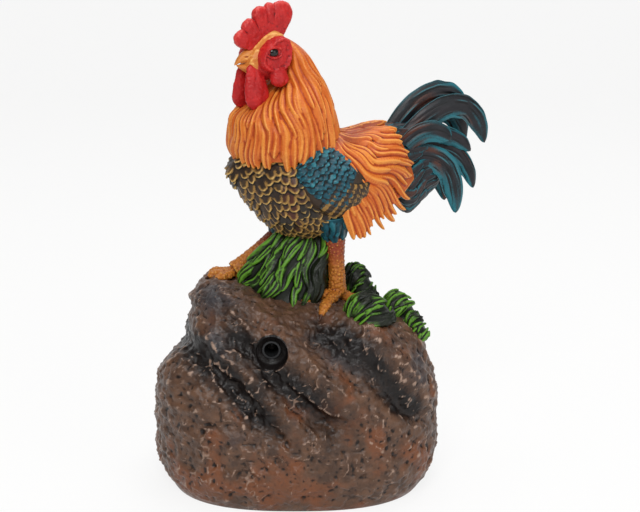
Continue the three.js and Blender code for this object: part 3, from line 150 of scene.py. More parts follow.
# Cast polyester resin: brushed in acrylics, then dipped in clear varnish, which gives soft glints on every
# ridge.
# The relief layers darken the recesses and lighten the ridges: partly the real dark wash and dry-brushing,
# partly painted shade in the recesses and painted highlights on the ridges.
# The grain is brush marks and casting bubbles, drawn a little coarser than real so that it shows.
# Each row: body colours, sizes of blotch and grain, bump, roughness, layers.
resins = {
    "rock": (("#684b39", "#4d382c"), 6, 1.1, 0.3, (0.22, 0.46), [
        ("rust", 0.3, 1.1, "#75472d"),
        ("slate", 0.3, 1.05, "#3f3c3f"),
        # painted shade along the clefts, partly the real dark airbrushing
        ("cleft", 0.1, 1.0, "#15100f"),
        # painted shade in every recess and painted highlights on every ridge, partly the real wash and
        # dry-brush
        ("relief", -0.15, -0.9, "#1e1511"),
        ("relief", 0.55, 1.25, "#a58a79"),
        # painted highlight along the thin raised seams
        ("vein", 0.4, 1.1, "#937867"),
        # painted shade inside the sensor's hole
        ("bore", 0.3, 0.7, "#171312"),
    ]),
    "hackle": (("#d6742a", "#cc6623"), 8, 0.8, 0.08, (0.36, 0.5), [
        ("tint", 0.55, 1.1, "#e08a36"),
        ("tint", 0.35, -0.1, "#c35a1c"),
        ("rust", 0.3, 0.9, "#96472a"),
        # painted shade in the grooves between locks and painted highlights on their crests, partly the real
        # wash and dry-brush
        ("relief", 0.0, -0.5, "#ab4110"),
        ("relief", -0.45, -1.1, "#5e1f0a"),
        ("relief", 0.2, 0.9, "#eda04c"),
    ]),
    "breast": (("#3a2b20", "#2a201a"), 5, 0.7, 0.1, (0.36, 0.5), [
        ("tint", 0.6, 1.1, "#4b3a26"),
        ("rust", 0.4, 0.9, "#4d281c"),
        ("rim", 0.3, 0.85, "#98733b"),
        ("fade", 0.25, 0.7, "#2b2620"),
        # painted shade in the recesses and painted highlights on the raised scales, partly the real wash and
        # dry-brush
        ("relief", 0.0, -0.5, "#120d0b"),
        ("relief", 0.3, 0.9, "#cba660"),
    ]),
    "wing": (("#1a5464", "#123b47"), 3, 0.7, 0.1, (0.34, 0.48), [
        ("tint", 0.6, 1.1, "#2a7a88"),
        ("plume", 0.4, 0.7, "#3a2c21"),
        ("bar", 0.4, 0.8, "#94703a"),
        # painted shade in the recesses and painted highlights on the ridges, partly the real wash and
        # dry-brush
        ("relief", 0.0, -0.4, "#0b1417"),
        ("relief", 0.4, 1.1, "#4497a4"),
    ]),
    "tail": (("#262328", "#191c20"), 7, 0.7, 0.1, (0.32, 0.46), [
        ("tint", 0.6, 1.1, "#4f2b1f"),
        ("rim", 0.25, 0.95, "#216e7b"),
        # painted shade in the recesses and painted highlights on the ridges, partly the real wash and
        # dry-brush
        ("relief", 0.0, -0.45, "#08090b"),
        ("relief", 0.4, 1.1, "#3c727c"),
    ]),
    "shank": (("#9c4526", "#8a3a1f"), 5, 0.6, 0.06, (0.36, 0.5), [
        ("along", 0.75, 0.35, "#b56d28"),
        # painted shade in the recesses and painted highlights on the raised scales, partly the real wash and
        # dry-brush
        ("relief", 0.0, -0.6, "#5a210c"),
        ("relief", 0.2, 0.95, "#d9a44c"),
        ("rim", 0.5, 0.9, "#4a2b1c"),
    ]),
    "grass": (("#273a10", "#1a270b"), 6, 0.7, 0.08, (0.34, 0.48), [
        ("tint", 0.5, 1.1, "#3a5a18"),
        # painted highlights on the raised blades, partly the real dry-brushed green
        ("relief", -0.05, 0.55, "#5f9529"),
        # painted shade: darker along the blades' paths, towards the right and on the core between blades,
        # and in random patches
        ("fade", 0.15, 0.6, "#131a0b"),
        # painted shade in the recesses, partly the real dark wash
        ("relief", 0.0, -0.45, "#070b04"),
    ]),
    "comb": (("#c42524", "#ad1c1e"), 6, 0.9, 0.12, (0.34, 0.5), [
        # painted shade in the recesses and painted highlights on the ridges, partly the real wash and
        # dry-brush
        ("relief", -0.05, -0.7, "#600d16"),
        ("relief", 0.3, 1.05, "#d0403b"),
    ]),
    "skin": (("#d5873c", "#ca7732"), 6, 0.7, 0.08, (0.36, 0.5), [
        # painted shade in the recesses and painted highlights on the ridges, partly the real wash and
        # dry-brush
        ("relief", -0.05, -0.7, "#a04b1f"),
        ("relief", 0.2, 0.95, "#ecb062"),
        ("blush", 0.3, 0.7, "#b52223"),
        ("rim", 0.5, 0.9, "#5b3a24"),
    ]),
}
paints = {name + "_paint": finish(name + "_resin", *row, **varnish) for name, row in resins.items()}
# Gloss enamel on the eye: near black, with a sharp window of light in it.
eye_enamel = finish("eye_enamel", ("#0d0907", "#150d09"), 2, 0.4, 0.002, (0.08, 0.14), IOR=1.5)
paints["eye_black"] = eye_enamel
# Injection-moulded ABS: black, with the fine spark texture of the mould, so it looks dull and even.
black_abs = finish("black_abs", ("#17181a", "#1c1d1f"), 20, 0.45, 0.03, (0.45, 0.6), IOR=1.53)
# Printed shrink film on the cells: smooth and glossy, left without any print.
cell_film = finish("cell_film", ("#2e6b46", "#2a6341"), 15, 2.5, 0.01, (0.22, 0.32), IOR=1.5)
# Nickel plate on spring steel: bright, slightly yellow, with drawing marks.
nickel_plate = finish("nickel_plate", ("#c2bfb6", "#aeaba3"), 4, 0.3, 0.005, (0.2, 0.34), metal=1.0)
# Zinc plate on steel: grey with faint cloudy spangle.
zinc_plate = finish("zinc_plate", ("#a2a5a8", "#8d9094"), 3, 0.3, 0.006, (0.3, 0.46), metal=1.0)
# Solder mask on glass-fibre board: green lacquer over a faint weave.
solder_mask = finish("solder_mask", ("#1d5a37", "#1a5132"), 6, 0.6, 0.01, (0.3, 0.42), IOR=1.55)
# Pressed paper pulp of a loudspeaker cone: black, matt and fibrous.
cone_pulp = finish("cone_pulp", ("#2a2927", "#232220"), 3, 0.5, 0.06, (0.8, 0.95), IOR=1.45)
# Extruded PVC on the leads: red and waxy.
lead_pvc = finish("lead_pvc", ("#8c1f1c", "#7d1b19"), 8, 0.8, 0.01, (0.38, 0.48), IOR=1.54)

# Number tools for the sculpting, in mm

tiny = 1e-9  # keeps a length of nothing from dividing
small_step = 1e-3  # in a surface's own measures, to find its slope
grid_start = 4096  # keeps the cells of the grids above zero
hash_primes = (374761393, 668265263, 2246822519)  # one for each axis of a cell
hash_seed, hash_mix = 3266489917, 2654435761
hash_shifts = (15, 13)
hash_top = 0xFFFFFF

draw_seeds = {
    "torso": 3, "cape": 5, "wing": 20, "saddle": 30, "fluff": 41, "thigh": 50, "sheaf": 61, "clump": 70
}


def draws(name, step=0):
    """The random draws for a piece, the same on each run."""
    return np.random.default_rng(draw_seeds[name] + step)


def smooth(low, high, value):
    share = np.clip((value - low) / (high - low), 0, 1)
    return share * share * (3 - 2 * share)


def mix(first, last, share):
    return first + (last - first) * share


def blunt(share, length):
    """Rises from 0 to 1 like a quarter circle over the given length."""
    return np.sqrt(np.maximum(0, 1 - (1 - np.minimum(1, share / length)) ** 2))


def bell(value, middle, width):
    """A soft hump: 1 at the middle, a third of that at the width."""
    return np.exp(-(((value - middle) / width) ** 2))


def turns(count):
    """Angles evenly round a full turn."""
    return np.arange(count) / count * TURN


def ball_rows(count, end):
    """Shares from 0 to 1 that stand closer at both ends, as the rows of a ball do."""
    return (1 - np.cos(np.linspace(end, math.pi - end, count))) / 2


def unit(vectors):
    return vectors / np.maximum(np.linalg.norm(vectors, axis=-1, keepdims=True), tiny)


def at(x, y, z):
    return np.stack(np.broadcast_arrays(x, y, z), axis=-1).astype(float)


def stations(values):
    """A smooth curve through evenly spaced values, read by a share from 0 to 1."""
    knots = np.array(values, float)
    last = len(knots) - 1

    def read(share):
        place = np.clip(share, 0, 1) * last
        first = np.minimum(np.floor(place).astype(int), last - 1)
        part = place - first
        before, low, high, after = (knots[np.clip(first + step, 0, last)] for step in (-1, 0, 1, 2))
        rise_low = (high - before) / 2
        rise_high = (after - low) / 2
        cubic = 2 * low - 2 * high + rise_low + rise_high
        square = 3 * high - 3 * low - 2 * rise_low - rise_high
        return ((cubic * part + square) * part + rise_low) * part + low

    return read


def bezier(first, bend, last):
    first, bend, last = (np.array(point, float) for point in (first, bend, last))

    def read(share):
        share = np.asarray(share)[..., None]
        return (1 - share) ** 2 * first + 2 * share * (1 - share) * bend + share**2 * last

    return read


def chance(cells, seed):
    """An even random number from 0 to 1 for each cell of a grid, the same on each run."""
    cells = cells.astype(np.uint64)
    mixed = np.full(cells.shape[:-1], seed * hash_seed, np.uint64)
    for axis, prime in enumerate(hash_primes):
        mixed = mixed + cells[..., axis] * np.uint64(prime)
    mixed = (mixed ^ (mixed >> np.uint64(hash_shifts[0]))) * np.uint64(hash_mix)
    mixed = (mixed ^ (mixed >> np.uint64(hash_shifts[1]))) & np.uint64(hash_top)
    return mixed.astype(float) / hash_top


def lumps(points, size, seed):
    """Smooth lumps from -1 to 1, about the given size in mm."""
    place = points / size + grid_start
    corner = np.floor(place)
    part = smooth(0, 1, place - corner)
    total = np.zeros(points.shape[:-1])
    for step in np.ndindex(2, 2, 2):
        weight = np.prod(np.where(step, part, 1 - part), axis=-1)
        total += weight * chance(corner + step, seed)
    return 2 * total - 1


def rough(points, size, seed, octaves=2, stretch=(1, 1, 1)):
    """Lumps with finer lumps on them, drawn out along an axis whose stretch is under 1."""
    points = points * np.array(stretch)
    return sum(lumps(points, size / 2**i, seed + i) / 2**i for i in range(octaves))


def pits(points, size, seed):
    """Distance to the nearest of the seeds that are strewn one to a cell, as a share of the cell's size."""
    place = points / size + grid_start
    corner = np.floor(place)
    nearest = np.full(points.shape[:-1], np.inf)
    for step in np.ndindex(3, 3, 3):
        cell = corner + step - 1
        spot = cell + np.stack([chance(cell, seed + axis) for axis in range(3)], axis=-1)
        nearest = np.minimum(nearest, np.linalg.norm(place - spot, axis=-1))
    return nearest


def beads(points, size, seed, width):
    """Round grains, one to a cell, from 0 between them to 1."""
    return np.maximum(0, 1 - pits(points, size, seed) / width)


# Shells: closed tubes of points, with the marks that the paint reads


def tubes(rings, **marks):
    """Closed tubes from an array of tube, step, side and coordinate."""
    count, steps, sides = rings.shape[:3]
    index = np.arange(count * steps * sides).reshape(count, steps, sides)
    turned = np.roll(index, -1, axis=2)
    walls = np.stack([index[:, :-1], turned[:, :-1], turned[:, 1:], index[:, 1:]], axis=-1)
    ends = np.concatenate([index[:, 0, ::-1], index[:, -1]])
    spread = {name: np.broadcast_to(mark, rings.shape[:3]).ravel() for name, mark in marks.items()}
    return rings.reshape(-1, 3), walls.reshape(-1, walls.shape[-1]).tolist() + ends.tolist(), spread


def loft(points, **marks):
    """One closed tube from an array of step, side and coordinate."""
    return tubes(points[None], **marks)


def slab(top, under, **marks):
    """One closed shell between two sheets of points, with the same marks on both."""

    def closed(first, last):
        return np.concatenate([first, last[:, ::-1]], axis=1)

    return loft(closed(top, under), **{name: closed(mark, mark) for name, mark in marks.items()})


def joined(shells):
    names = sorted({name for shell in shells for name in shell[2]})
    faces = []
    start = 0
    for points, own, _ in shells:
        faces += [[corner + start for corner in face] for face in own]
        start += len(points)
    marks = {
        name: np.concatenate([own.get(name, np.zeros(len(points))) for points, _, own in shells])
        for name in names
    }
    return np.concatenate([points for points, _, _ in shells]), faces, marks


def laid(surface, p, q, inside):
    """Points of a surface with the normals that point away from a place inside."""
    along = surface(p + small_step, q) - surface(p - small_step, q)
    across = surface(p, q + small_step) - surface(p, q - small_step)
    normal = unit(np.cross(along, across))
    points = surface(p, q)
    out = np.sum(normal * (points - np.array(inside)), axis=-1, keepdims=True)
    return points, np.where(out < 0, -normal, normal)


def limb_surface(curve, radius, flat):
    """A round or flattened limb about a curve: flat is its height across the body over its width."""

    def surface(share, angle):
        share, angle = np.broadcast_arrays(share, angle)
        held = np.clip(share, 0, 1)
        middle = curve(held)
        forward = unit(curve(held + small_step) - curve(held - small_step))
        through = unit(np.cross(forward, np.array([0.0, 1.0, 0.0])))
        wide = np.cross(through, forward)
        r = radius(held)[..., None]
        tall = r * flat(held)[..., None]
        return middle + wide * r * np.cos(angle)[..., None] + through * tall * np.sin(angle)[..., None]

    return surface


def wrapped(surface, rows, sides, *more, **marks):
    """One closed tube of a surface's points, in rows along it and all round."""
    return loft(surface(rows[:, None], turns(sides)[None, :], *more), **marks)


lock_sides = 22
lock_steps = 26
lock_share = np.linspace(0, 1, lock_steps)[None, :]
lock_root = 0.7  # depth of a lock under the surface that it lies on, as a share of its height
furrow_depth = 0.42
layer_gap = 0.7  # between the slices of the lumps that different flows read
down_stray, down_length, down_grow = 0.3, 0.42, (0.85, 1.2)  # of short locks: over the pitch, shares, sizes


def flow(across, along, wide, long, seed):
    """A sideways swing from -1 to 1 that neighbouring locks share, so that they run side by side."""
    across, along = np.broadcast_arrays(across, along)
    return lumps(at(across / wide, along / long, seed * layer_gap), 1.0, seed)


def lock_outline(share):
    """Width of a lock along its length: full by a third, then drawn out to a point."""
    root, full, tip, drawn = 0.45, 0.3, 0.04, 0.85
    return mix(root, 1, smooth(0, full, share)) * np.maximum(tip, blunt(1 - share, drawn))


def strewn(rng, count, stray, shift=0.0):
    """Angles round a body for a layer of locks, a little astray, as a column."""
    return ((np.arange(count) + rng.uniform(-stray, stray, count) + shift) / count * TURN)[:, None]


def strands(surface, inside, p, q, half, height, lift, furrows=2, **marks):
    """Locks that lie on a surface along paths in its own p and q: rounded, furrowed, sunk at the root."""
    points, normal = laid(surface, p, q, inside)
    forward = unit(np.gradient(points, axis=1))
    across = np.cross(forward, normal)
    turn = turns(lock_sides)
    furrow = 1 - furrow_depth * (1 - np.cos(2 * furrows * turn)) / 2
    tall = np.where(np.sin(turn) > 0, np.sin(turn) * furrow, lock_root * np.sin(turn))
    half, height, lift = (np.broadcast_to(size, p.shape)[..., None] for size in (half, height, lift))
    rings = (
        points[:, :, None]
        + across[:, :, None] * (half * np.cos(turn))[..., None]
        + normal[:, :, None] * (lift + height * tall)[..., None]
    )
    spread = {name: np.broadcast_to(mark, p.shape)[..., None] for name, mark in marks.items()}
    return tubes(rings, rim=np.cos(turn) ** 2, **spread)


def locks(surface, inside, p, q, half, tall, grow, lift, rng, ease=1.0, **more):
    """Locks whose width and height follow grow along their length, each with a tint of its own."""
    tint = rng.random((len(p), 1))
    return strands(surface, inside, p, q, half * grow, tall * np.sqrt(grow) * ease, lift, tint=tint, **more)


def down_locks(
    surface, inside, layers, rng, slip, limit, swing, girth, long, wave, seed, tall, lift, furrows=2
):
    """Short locks in layers along a limb; each layer is (start, number of locks, half their width)."""
    shells = []
    for start, count, half in layers:
        around = strewn(rng, count, down_stray)
        t = start + rng.uniform(-slip, slip, around.shape) + down_length * lock_share
        t = np.clip(t, 0, limit)
        bend = swing * flow(around * girth, t * long, *wave, seed)
        grow = rng.uniform(*down_grow, around.shape) * lock_outline(lock_share)
        size = (half, tall, grow, mix(*lift, lock_share))
        shells.append(locks(surface, inside, t, around + bend, *size, rng, furrows=furrows))
    return shells


scale_steps = 9
scale_columns = 9
scale_start = 0.35  # share of a scale that lies behind its place
scale_root, scale_full = 0.65, 0.4  # width at the root, and where the full width is reached
scale_tip, scale_round = 0.08, 0.55  # least width, and the share that rounds off to it
scale_sink, scale_sweep = 0.6, 1.3  # of the root under the surface, and how late the tip lifts
scale_arch = 0.45
barb_height, barb_count = 0.14, 3
scale_edge = (0.2, 0.6)  # where the rims start, and where they close round the tip


def scales(surface, inside, p, q, lie, width, length, lift, thickness, **marks):
    """Scale feathers on a surface, one at each p and q, with their tips turned along lie and lifted."""
    points, normal = laid(surface, p, q, inside)
    lie = np.broadcast_to(np.array(lie, float), points.shape)
    down = unit(lie - normal * np.sum(lie * normal, axis=-1, keepdims=True))
    across = np.cross(down, normal)
    share = np.linspace(0, 1, scale_steps)[:, None]
    half = np.linspace(-1, 1, scale_columns)
    side = np.concatenate([half, half[::-1]])[None, :]
    under = np.arange(2 * scale_columns) >= scale_columns
    root = mix(scale_root, 1, smooth(0, scale_full, share))
    x = np.maximum(scale_tip, blunt(1 - share, scale_round) * root) * side * 0.5
    y = np.broadcast_to(share - scale_start, x.shape)
    ribs = smooth(*scale_edge, share)
    crown = scale_arch * (1 - side**2) + barb_height * np.cos(side * barb_count * math.pi) * ribs
    z = mix(-scale_sink, 1, share**scale_sweep)
    size, reach = (np.broadcast_to(value, p.shape)[:, None, None] for value in (width, length))
    rise = lift * z + thickness * np.where(under, -1, crown)
    rings = (
        points[:, None, None]
        + across[:, None, None] * (size * x)[..., None]
        + down[:, None, None] * (reach * y)[..., None]
        + normal[:, None, None] * rise[..., None]
    )
    edge = np.maximum(np.abs(side) * ribs, smooth(scale_edge[1], 1, share))
    return tubes(rings, rim=edge, **{name: np.asarray(mark)[:, None, None] for name, mark in marks.items()})


# Castings: shells poured into one skin, with the ridges and recesses measured for the paint: wash and
# painted shade in recesses, dry-brush and painted highlights on ridges

fine_skin, finer_skin, finest_skin = 0.45, 0.4, 0.3  # sizes of the voxels that castings are poured in
skin_passes = 1  # of smoothing after the pour
relief_limit = 1.2


def eased(values, edges, passes):
    """Values spread over a mesh: each point goes halfway to the mean of its neighbours, some times over."""
    count = len(values)
    links = np.maximum(np.bincount(edges.ravel(), minlength=count), 1)[:, None]
    first, last = edges.T
    for _ in range(passes):
        total = [
            np.bincount(first, column[last], count) + np.bincount(last, column[first], count)
            for column in values.T
        ]
        values = (values + np.stack(total, axis=-1) / links) / 2
    return values


def mesh_of(name, points, faces):
    mesh = bpy.data.meshes.new(name)
    mesh.from_pydata(points.tolist(), [], faces)
    work = bmesh.new()
    work.from_mesh(mesh)
    bmesh.ops.recalc_face_normals(work, faces=work.faces)
    work.to_mesh(mesh)
    work.free()
    return mesh


def changed(mesh, kind, **settings):
    """The mesh after one modifier."""
    lump = bpy.data.objects.new("lump", mesh)
    scene.collection.objects.link(lump)
    step = lump.modifiers.new("step", kind)
    for name, value in settings.items():
        setattr(step, name, value)
    made = bpy.data.meshes.new_from_object(lump.evaluated_get(bpy.context.evaluated_depsgraph_get()))
    bpy.data.objects.remove(lump)
    bpy.data.meshes.remove(mesh)
    return made


def read_back(items, field, width, kind=float):
    """A field of a mesh's points or edges as an array."""
    values = np.zeros(len(items) * width, np.int32 if kind is int else np.float32)
    items.foreach_get(field, values)
    return values.reshape(-1, width).astype(kind)


def points_and_edges(mesh):
    return read_back(mesh.vertices, "co", 3), read_back(mesh.edges, "vertices", 2, int)


def put_points(mesh, points):
    mesh.vertices.foreach_set("co", points.astype(np.float32).ravel())
    mesh.update()


def main_lump(mesh):
    """Drops the bubbles and crumbs that lie apart from the largest skin."""
    first, last = points_and_edges(mesh)[1].T
    label = np.arange(len(mesh.vertices))
    while True:
        least = np.minimum(label[first], label[last])
        before = label.copy()
        np.minimum.at(label, first, least)
        np.minimum.at(label, last, least)
        label = label[label]
        if np.array_equal(before, label):
            break
    main = np.bincount(label).argmax()
    work = bmesh.new()
    work.from_mesh(mesh)
    work.verts.ensure_lookup_table()
    crumbs = [work.verts[i] for i in np.flatnonzero(label != main)]
    bmesh.ops.delete(work, geom=crumbs, context="VERTS")
    work.to_mesh(mesh)
    work.free()
    return mesh


def carried(marks, source, points):
    """The marks of the nearest source points."""
    tree = KDTree(len(source))
    for i, point in enumerate(source.tolist()):
        tree.insert(point, i)
    tree.balance()
    nearest = np.array([tree.find(point)[1] for point in points.tolist()])
    return {name: mark[nearest] for name, mark in marks.items()}


def cut_by(mesh, shell):
    """The mesh with a shell taken out of it."""
    cutter = bpy.data.objects.new("cutter", mesh_of("cutter", *shell[:2]))
    scene.collection.objects.link(cutter)
    made = changed(mesh, "BOOLEAN", operation="DIFFERENCE", solver="MANIFOLD", object=cutter)
    bpy.data.meshes.remove(cutter.data)
    return made


def dressed(node, mesh, slot):
    """The object of a finished mesh, painted, riding on the figure in place of its CAD node."""
    mesh.materials.clear()
    mesh.materials.append(paints[slot])
    mesh.shade_smooth()
    shape = bpy.data.objects.new(node + "_casting", mesh)
    scene.collection.objects.link(shape)
    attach(shape, "figure")
    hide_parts(node)


def casting(
    node, shells, slot, stand, voxel=None, reach=12, depth=0.3, texture=None, cuts=(), marking=None
):
    """Pours shells into one skin, textures and cuts it, marks its relief and stands it in the row frame.

    reach is how many points away the relief looks, depth the mm of relief that count as a full ridge.
    """
    source, faces, marks = joined(shells)
    mesh = mesh_of(node + "_skin", source, faces)
    if voxel:
        mesh = main_lump(changed(mesh, "REMESH", mode="VOXEL", voxel_size=voxel))
        points, edges = points_and_edges(mesh)
        marks = carried(marks, source, points)
        settled = eased(np.stack([*marks.values(), *points.T], axis=-1), edges, skin_passes)
        marks = dict(zip(marks, settled.T))
        put_points(mesh, settled[:, -3:])
    if texture:
        points = read_back(mesh.vertices, "co", 3)
        rise = texture(points, marks)[:, None]
        put_points(mesh, points + read_back(mesh.vertices, "normal", 3) * rise)
    for shell in cuts:
        mesh = cut_by(mesh, shell)
    points, edges = points_and_edges(mesh)
    if marking:
        marks = marking(points)
    normals = read_back(mesh.vertices, "normal", 3)
    height = np.sum((points - eased(points, edges, reach)) * normals, axis=-1)
    marks["relief"] = np.clip(height / depth, -relief_limit, relief_limit)
    put_points(mesh, stand(points) * MM)
    for name, mark in marks.items():
        mesh.attributes.new(name, "FLOAT", "POINT").data.foreach_set("value", mark.astype(np.float32))
    dressed(node, mesh, slot)


# Where things stand: the door lies on the rock's middle line, and the bird walks turned on the rock

door_low, door_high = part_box("battery_door")
row_shift = (door_low.x + door_high.x) / 2 / MM
bird_turn = 200 * DEGREE
bird_place = (5, 5, 0)


def turned(points, angle, place):
    x, y, z = np.moveaxis(points, -1, 0)
    cos, sin = math.cos(angle), math.sin(angle)
    return at(cos * x - sin * y, sin * x + cos * y, z) + np.array(place)


def on_rock(points):
    return points + np.array([row_shift, 0, 0])


def on_bird(points):
    return on_rock(turned(points, bird_turn, bird_place))


# Rock: a rounded block with slanting clefts, hollow from below, with the sensor's hole bored in its face

rock_half_width = 71
rock_half_depth = 58
rock_height = 97
rock_fall = 0.21  # drop of the crown towards the tail, mm per mm
rock_wall = 8
rock_power = 2.5  # how squarely the footprint and the crown turn their corners
roll_flank, roll_tail, roll_head = 2.6, 9, 6
roll_blend = 4
ledge_depth = 10  # of the hollow under the ledge at the head end
ledge_height = 83
ledge_span = 14.5
foot_tuck = 8
foot_tuck_height = 20
lip_height = 9
cleft_places = (12.07, 44.02, 88.04)  # across the strata
cleft_width = 12
cleft_depth = 6
cleft_foot, cleft_head = (0.3, 0.52), (0.82, 0.98)  # shares of the height where the clefts begin and ease
cleft_ease = 0.75
crest_height = 2  # of the swell along the upper side of a cleft
crest_width = 8.5
crest_offset = 16
ridge_swell = 0.3  # of the stone between two clefts, as a share of their depth
strata_lean = 0.35
strata_wave = 3
strata_wave_length = 82
lump_height = 1.25
lump_size = 12
rock_around = 372
rock_up = 224
front_crowd = 0.35  # that the points stand closer on the sensor's side
crown_end = 0.995  # share of the climb where the skin closes
halvings = 40  # of the climb, to find the crown's height over a place
climb_steps, climb_crowd = 900, 8  # that measure a climb, closer together towards the crown


def footprint(angle, inset=0.0):
    wide = (np.abs(np.cos(angle)) / (rock_half_width - inset)) ** rock_power
    deep = (np.abs(np.sin(angle)) / (rock_half_depth - inset)) ** rock_power
    return (wide + deep) ** (-1 / rock_power)


def rock_block(angle, climb, inset=0.0):
    """A point of the block before it is carved: angle round the footprint, climb from foot to crown."""
    tail = np.maximum(0, np.cos(angle)) ** roll_blend
    head = np.maximum(0, -np.cos(angle)) ** roll_blend
    roll = roll_flank + (roll_tail - roll_flank) * tail + (roll_head - roll_flank) * head
    reach = footprint(angle, inset) * np.cos(climb) ** (2 / roll)
    crown = rock_height - inset - rock_fall * reach * np.cos(angle)
    height = crown * np.sin(climb) ** (2 / rock_power)
    reach = reach - ledge_depth * bell(height, ledge_height, ledge_span) * head
    return at(reach * np.cos(angle), reach * np.sin(angle), height)


def across_strata(points):
    x, y, z = np.moveaxis(points, -1, 0)
    return x + z + strata_lean * y + strata_wave * np.sin(TURN * (x + strata_lean * z) / strata_wave_length)


def cleft_level(points):
    share = points[..., 2] / rock_height
    return smooth(*cleft_foot, share) * (1 - cleft_ease * smooth(*cleft_head, share))


def clefts(points, width=cleft_width, offset=0.0):
    across = across_strata(points)
    return sum(bell(across - place, offset, width) for place in cleft_places)


def rock_carving(points):
    """Depth of the clefts, their crests and broad lumps, in mm, outwards."""
    x, y, z = np.moveaxis(points, -1, 0)
    lump = np.sin(x / lump_size + 1) * np.cos(y / lump_size) * np.sin(z / lump_size)
    crests = crest_height * clefts(points, crest_width, crest_offset)
    return cleft_level(points) * (cleft_depth * (ridge_swell - clefts(points)) + crests) + lump_height * lump


def foot_draw(points):
    tuck = foot_tuck * (1 - np.minimum(1, points[..., 2] / foot_tuck_height)) ** 2
    return at(1 - tuck / rock_half_width, 1 - tuck / rock_half_width, 1.0)


def rock_point(angle, climb):
    points = rock_block(angle, climb)
    out = at(np.cos(angle) * np.cos(climb), np.sin(angle) * np.cos(climb), np.sin(climb))
    points = points + out * (rock_carving(points) * smooth(0, foot_tuck_height, points[..., 2]))[..., None]
    return points * foot_draw(points)


def rock_top(x, y):
    """Height of the carved crown over places in the rock's frame."""
    angle = np.arctan2(y, x)
    low, high = np.zeros_like(angle), np.full_like(angle, math.pi / 2)
    for _ in range(halvings):
        middle = (low + high) / 2
        reach = np.hypot(*np.moveaxis(rock_point(angle, middle)[..., :2], -1, 0))
        outside = reach > np.hypot(x, y)
        low, high = np.where(outside, middle, low), np.where(outside, high, middle)
    return rock_point(angle, low)[..., 2]


def climb_rows(angle, count, inset=0.0):
    """Climbs that divide each side of the block, from foot to crown, into even lengths."""
    share = np.linspace(0, 1, climb_steps)
    fine = math.pi / 2 * (1 - (1 - share) ** climb_crowd)
    points = rock_block(angle[None, :], fine[:, None], inset)
    length = np.cumsum(np.linalg.norm(np.diff(points, axis=0, prepend=points[:1]), axis=-1), axis=0)
    wanted = np.linspace(0, crown_end, count)
    return np.stack([np.interp(wanted * line[-1], line, fine) for line in length.T], axis=1)


# The rock's skin: heights and depths in mm, levels as shares of the rock's height

fold_height = 1.3  # of the soft folds between the clefts
fold_bed = (15, 46, 40)  # their sizes across the strata, along them and into the rock
fold_foot, fold_crown = (0.05, 0.3), (0.86, 0.99)
fold_ease = 0.7  # that they are lower on the crown
crust_height = 0.7  # of the hard crust on them
wrinkle_height = 0.6
seam_level = 0.6  # of the crust's and the wrinkles' ridges over their valleys
flake_height = 0.5  # of the flakes that stand over their neighbours
flake_bed = (8, 15, 11)
flake_edge = 0.06
vein_height = 0.6  # of the thin raised seams
vein_width = 0.06
vein_stretch = (1, 1, 0.75)
vein_patch = (0.0, 0.35)
grit_height = 0.4
pit_depth = 0.4
pit_levels = (0.75, 0.3)
skin_level = 0.5  # mean height of all these, taken off again
skin_foot = 6


def veins(points):
    """Short curved seams that stand up in patches, from 0 to 1."""
    seam = rough(points, size=9, seed=21, octaves=3, stretch=vein_stretch)
    return bell(seam, 0, vein_width) * smooth(*vein_patch, lumps(points, size=7, seed=25))


def rock_folds(points):
    """Soft crests along the strata, thin seams, grit and casting pits, in mm outwards."""
    x, y, z = np.moveaxis(points, -1, 0)
    share = z / rock_height
    strata = at(across_strata(points), x - z, y)
    crest = 1 - 2 * np.abs(rough(strata / np.array(fold_bed), size=1, seed=11))
    crown = smooth(*fold_crown, z / (rock_height - rock_fall * x))
    folds = fold_height * crest * smooth(*fold_foot, share) * (1 - fold_ease * crown)
    folds = folds + vein_height * veins(points)
    holes = beads(points, size=4.2, seed=31, width=0.4) * smooth(*pit_levels, share)
    crust = seam_level - 2 * np.abs(rough(points, size=9, seed=33))
    wrinkle = seam_level - 2 * np.abs(rough(points, size=4, seed=35))
    flake = smooth(-flake_edge, flake_edge, rough(strata / np.array(flake_bed), size=1, seed=37, octaves=3))
    skin = crust_height * crust + wrinkle_height * wrinkle + flake_height * flake
    grit = grit_height * rough(points, size=3, seed=41, octaves=3)
    return folds + skin + grit - pit_depth * holes - skin_level


def rock_skin():
    angle = turns(rock_around)
    angle = angle - front_crowd * np.cos(angle)
    climb = climb_rows(angle, rock_up)
    points = rock_point(angle[None, :], climb)
    down = np.gradient(points, axis=0)
    round_ = np.roll(points, -1, axis=1) - np.roll(points, 1, axis=1)
    normal = unit(np.cross(round_, down))
    rise = rock_folds(points) * smooth(0, skin_foot, points[..., 2])
    return loft(points + normal * rise[..., None])


hollow_around, hollow_up = 72, 26
lip_overlap = (0.1, 0.5)  # of the cavity under the lip's height, and of the opening over it
floor_overlap = 1


def rock_hollow():
    """The cavity over the lip, and the opening through the lip."""
    angle = turns(hollow_around)
    rows = climb_rows(angle, hollow_up, rock_wall)
    cavity = rock_block(angle[None, :], rows, rock_wall)
    cavity[..., 2] = np.maximum(cavity[..., 2], lip_height - lip_overlap[0])
    reach = footprint(angle) * (1 - foot_tuck / rock_half_width) - rock_wall
    heights = (-floor_overlap, lip_height + lip_overlap[1])
    rings = [at(reach * np.cos(angle), reach * np.sin(angle), z) for z in heights]
    return [loft(cavity), loft(np.stack(rings))]


sensor_low, sensor_high = (np.array(corner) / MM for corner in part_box("sensor_tube"))
sensor_middle = (sensor_low + sensor_high) / 2 - np.array([row_shift, 0, 0])
sensor_mouth = 7.5
sensor_flares = (1.2, 1.08, 1, 0.92)  # of the mouth's radius, from the face in to the tube
flare_depths = (5, 2.5)  # before the tube, where the middle two lie
sensor_seat = 0.3  # gap round the tube
bore_sides = 56


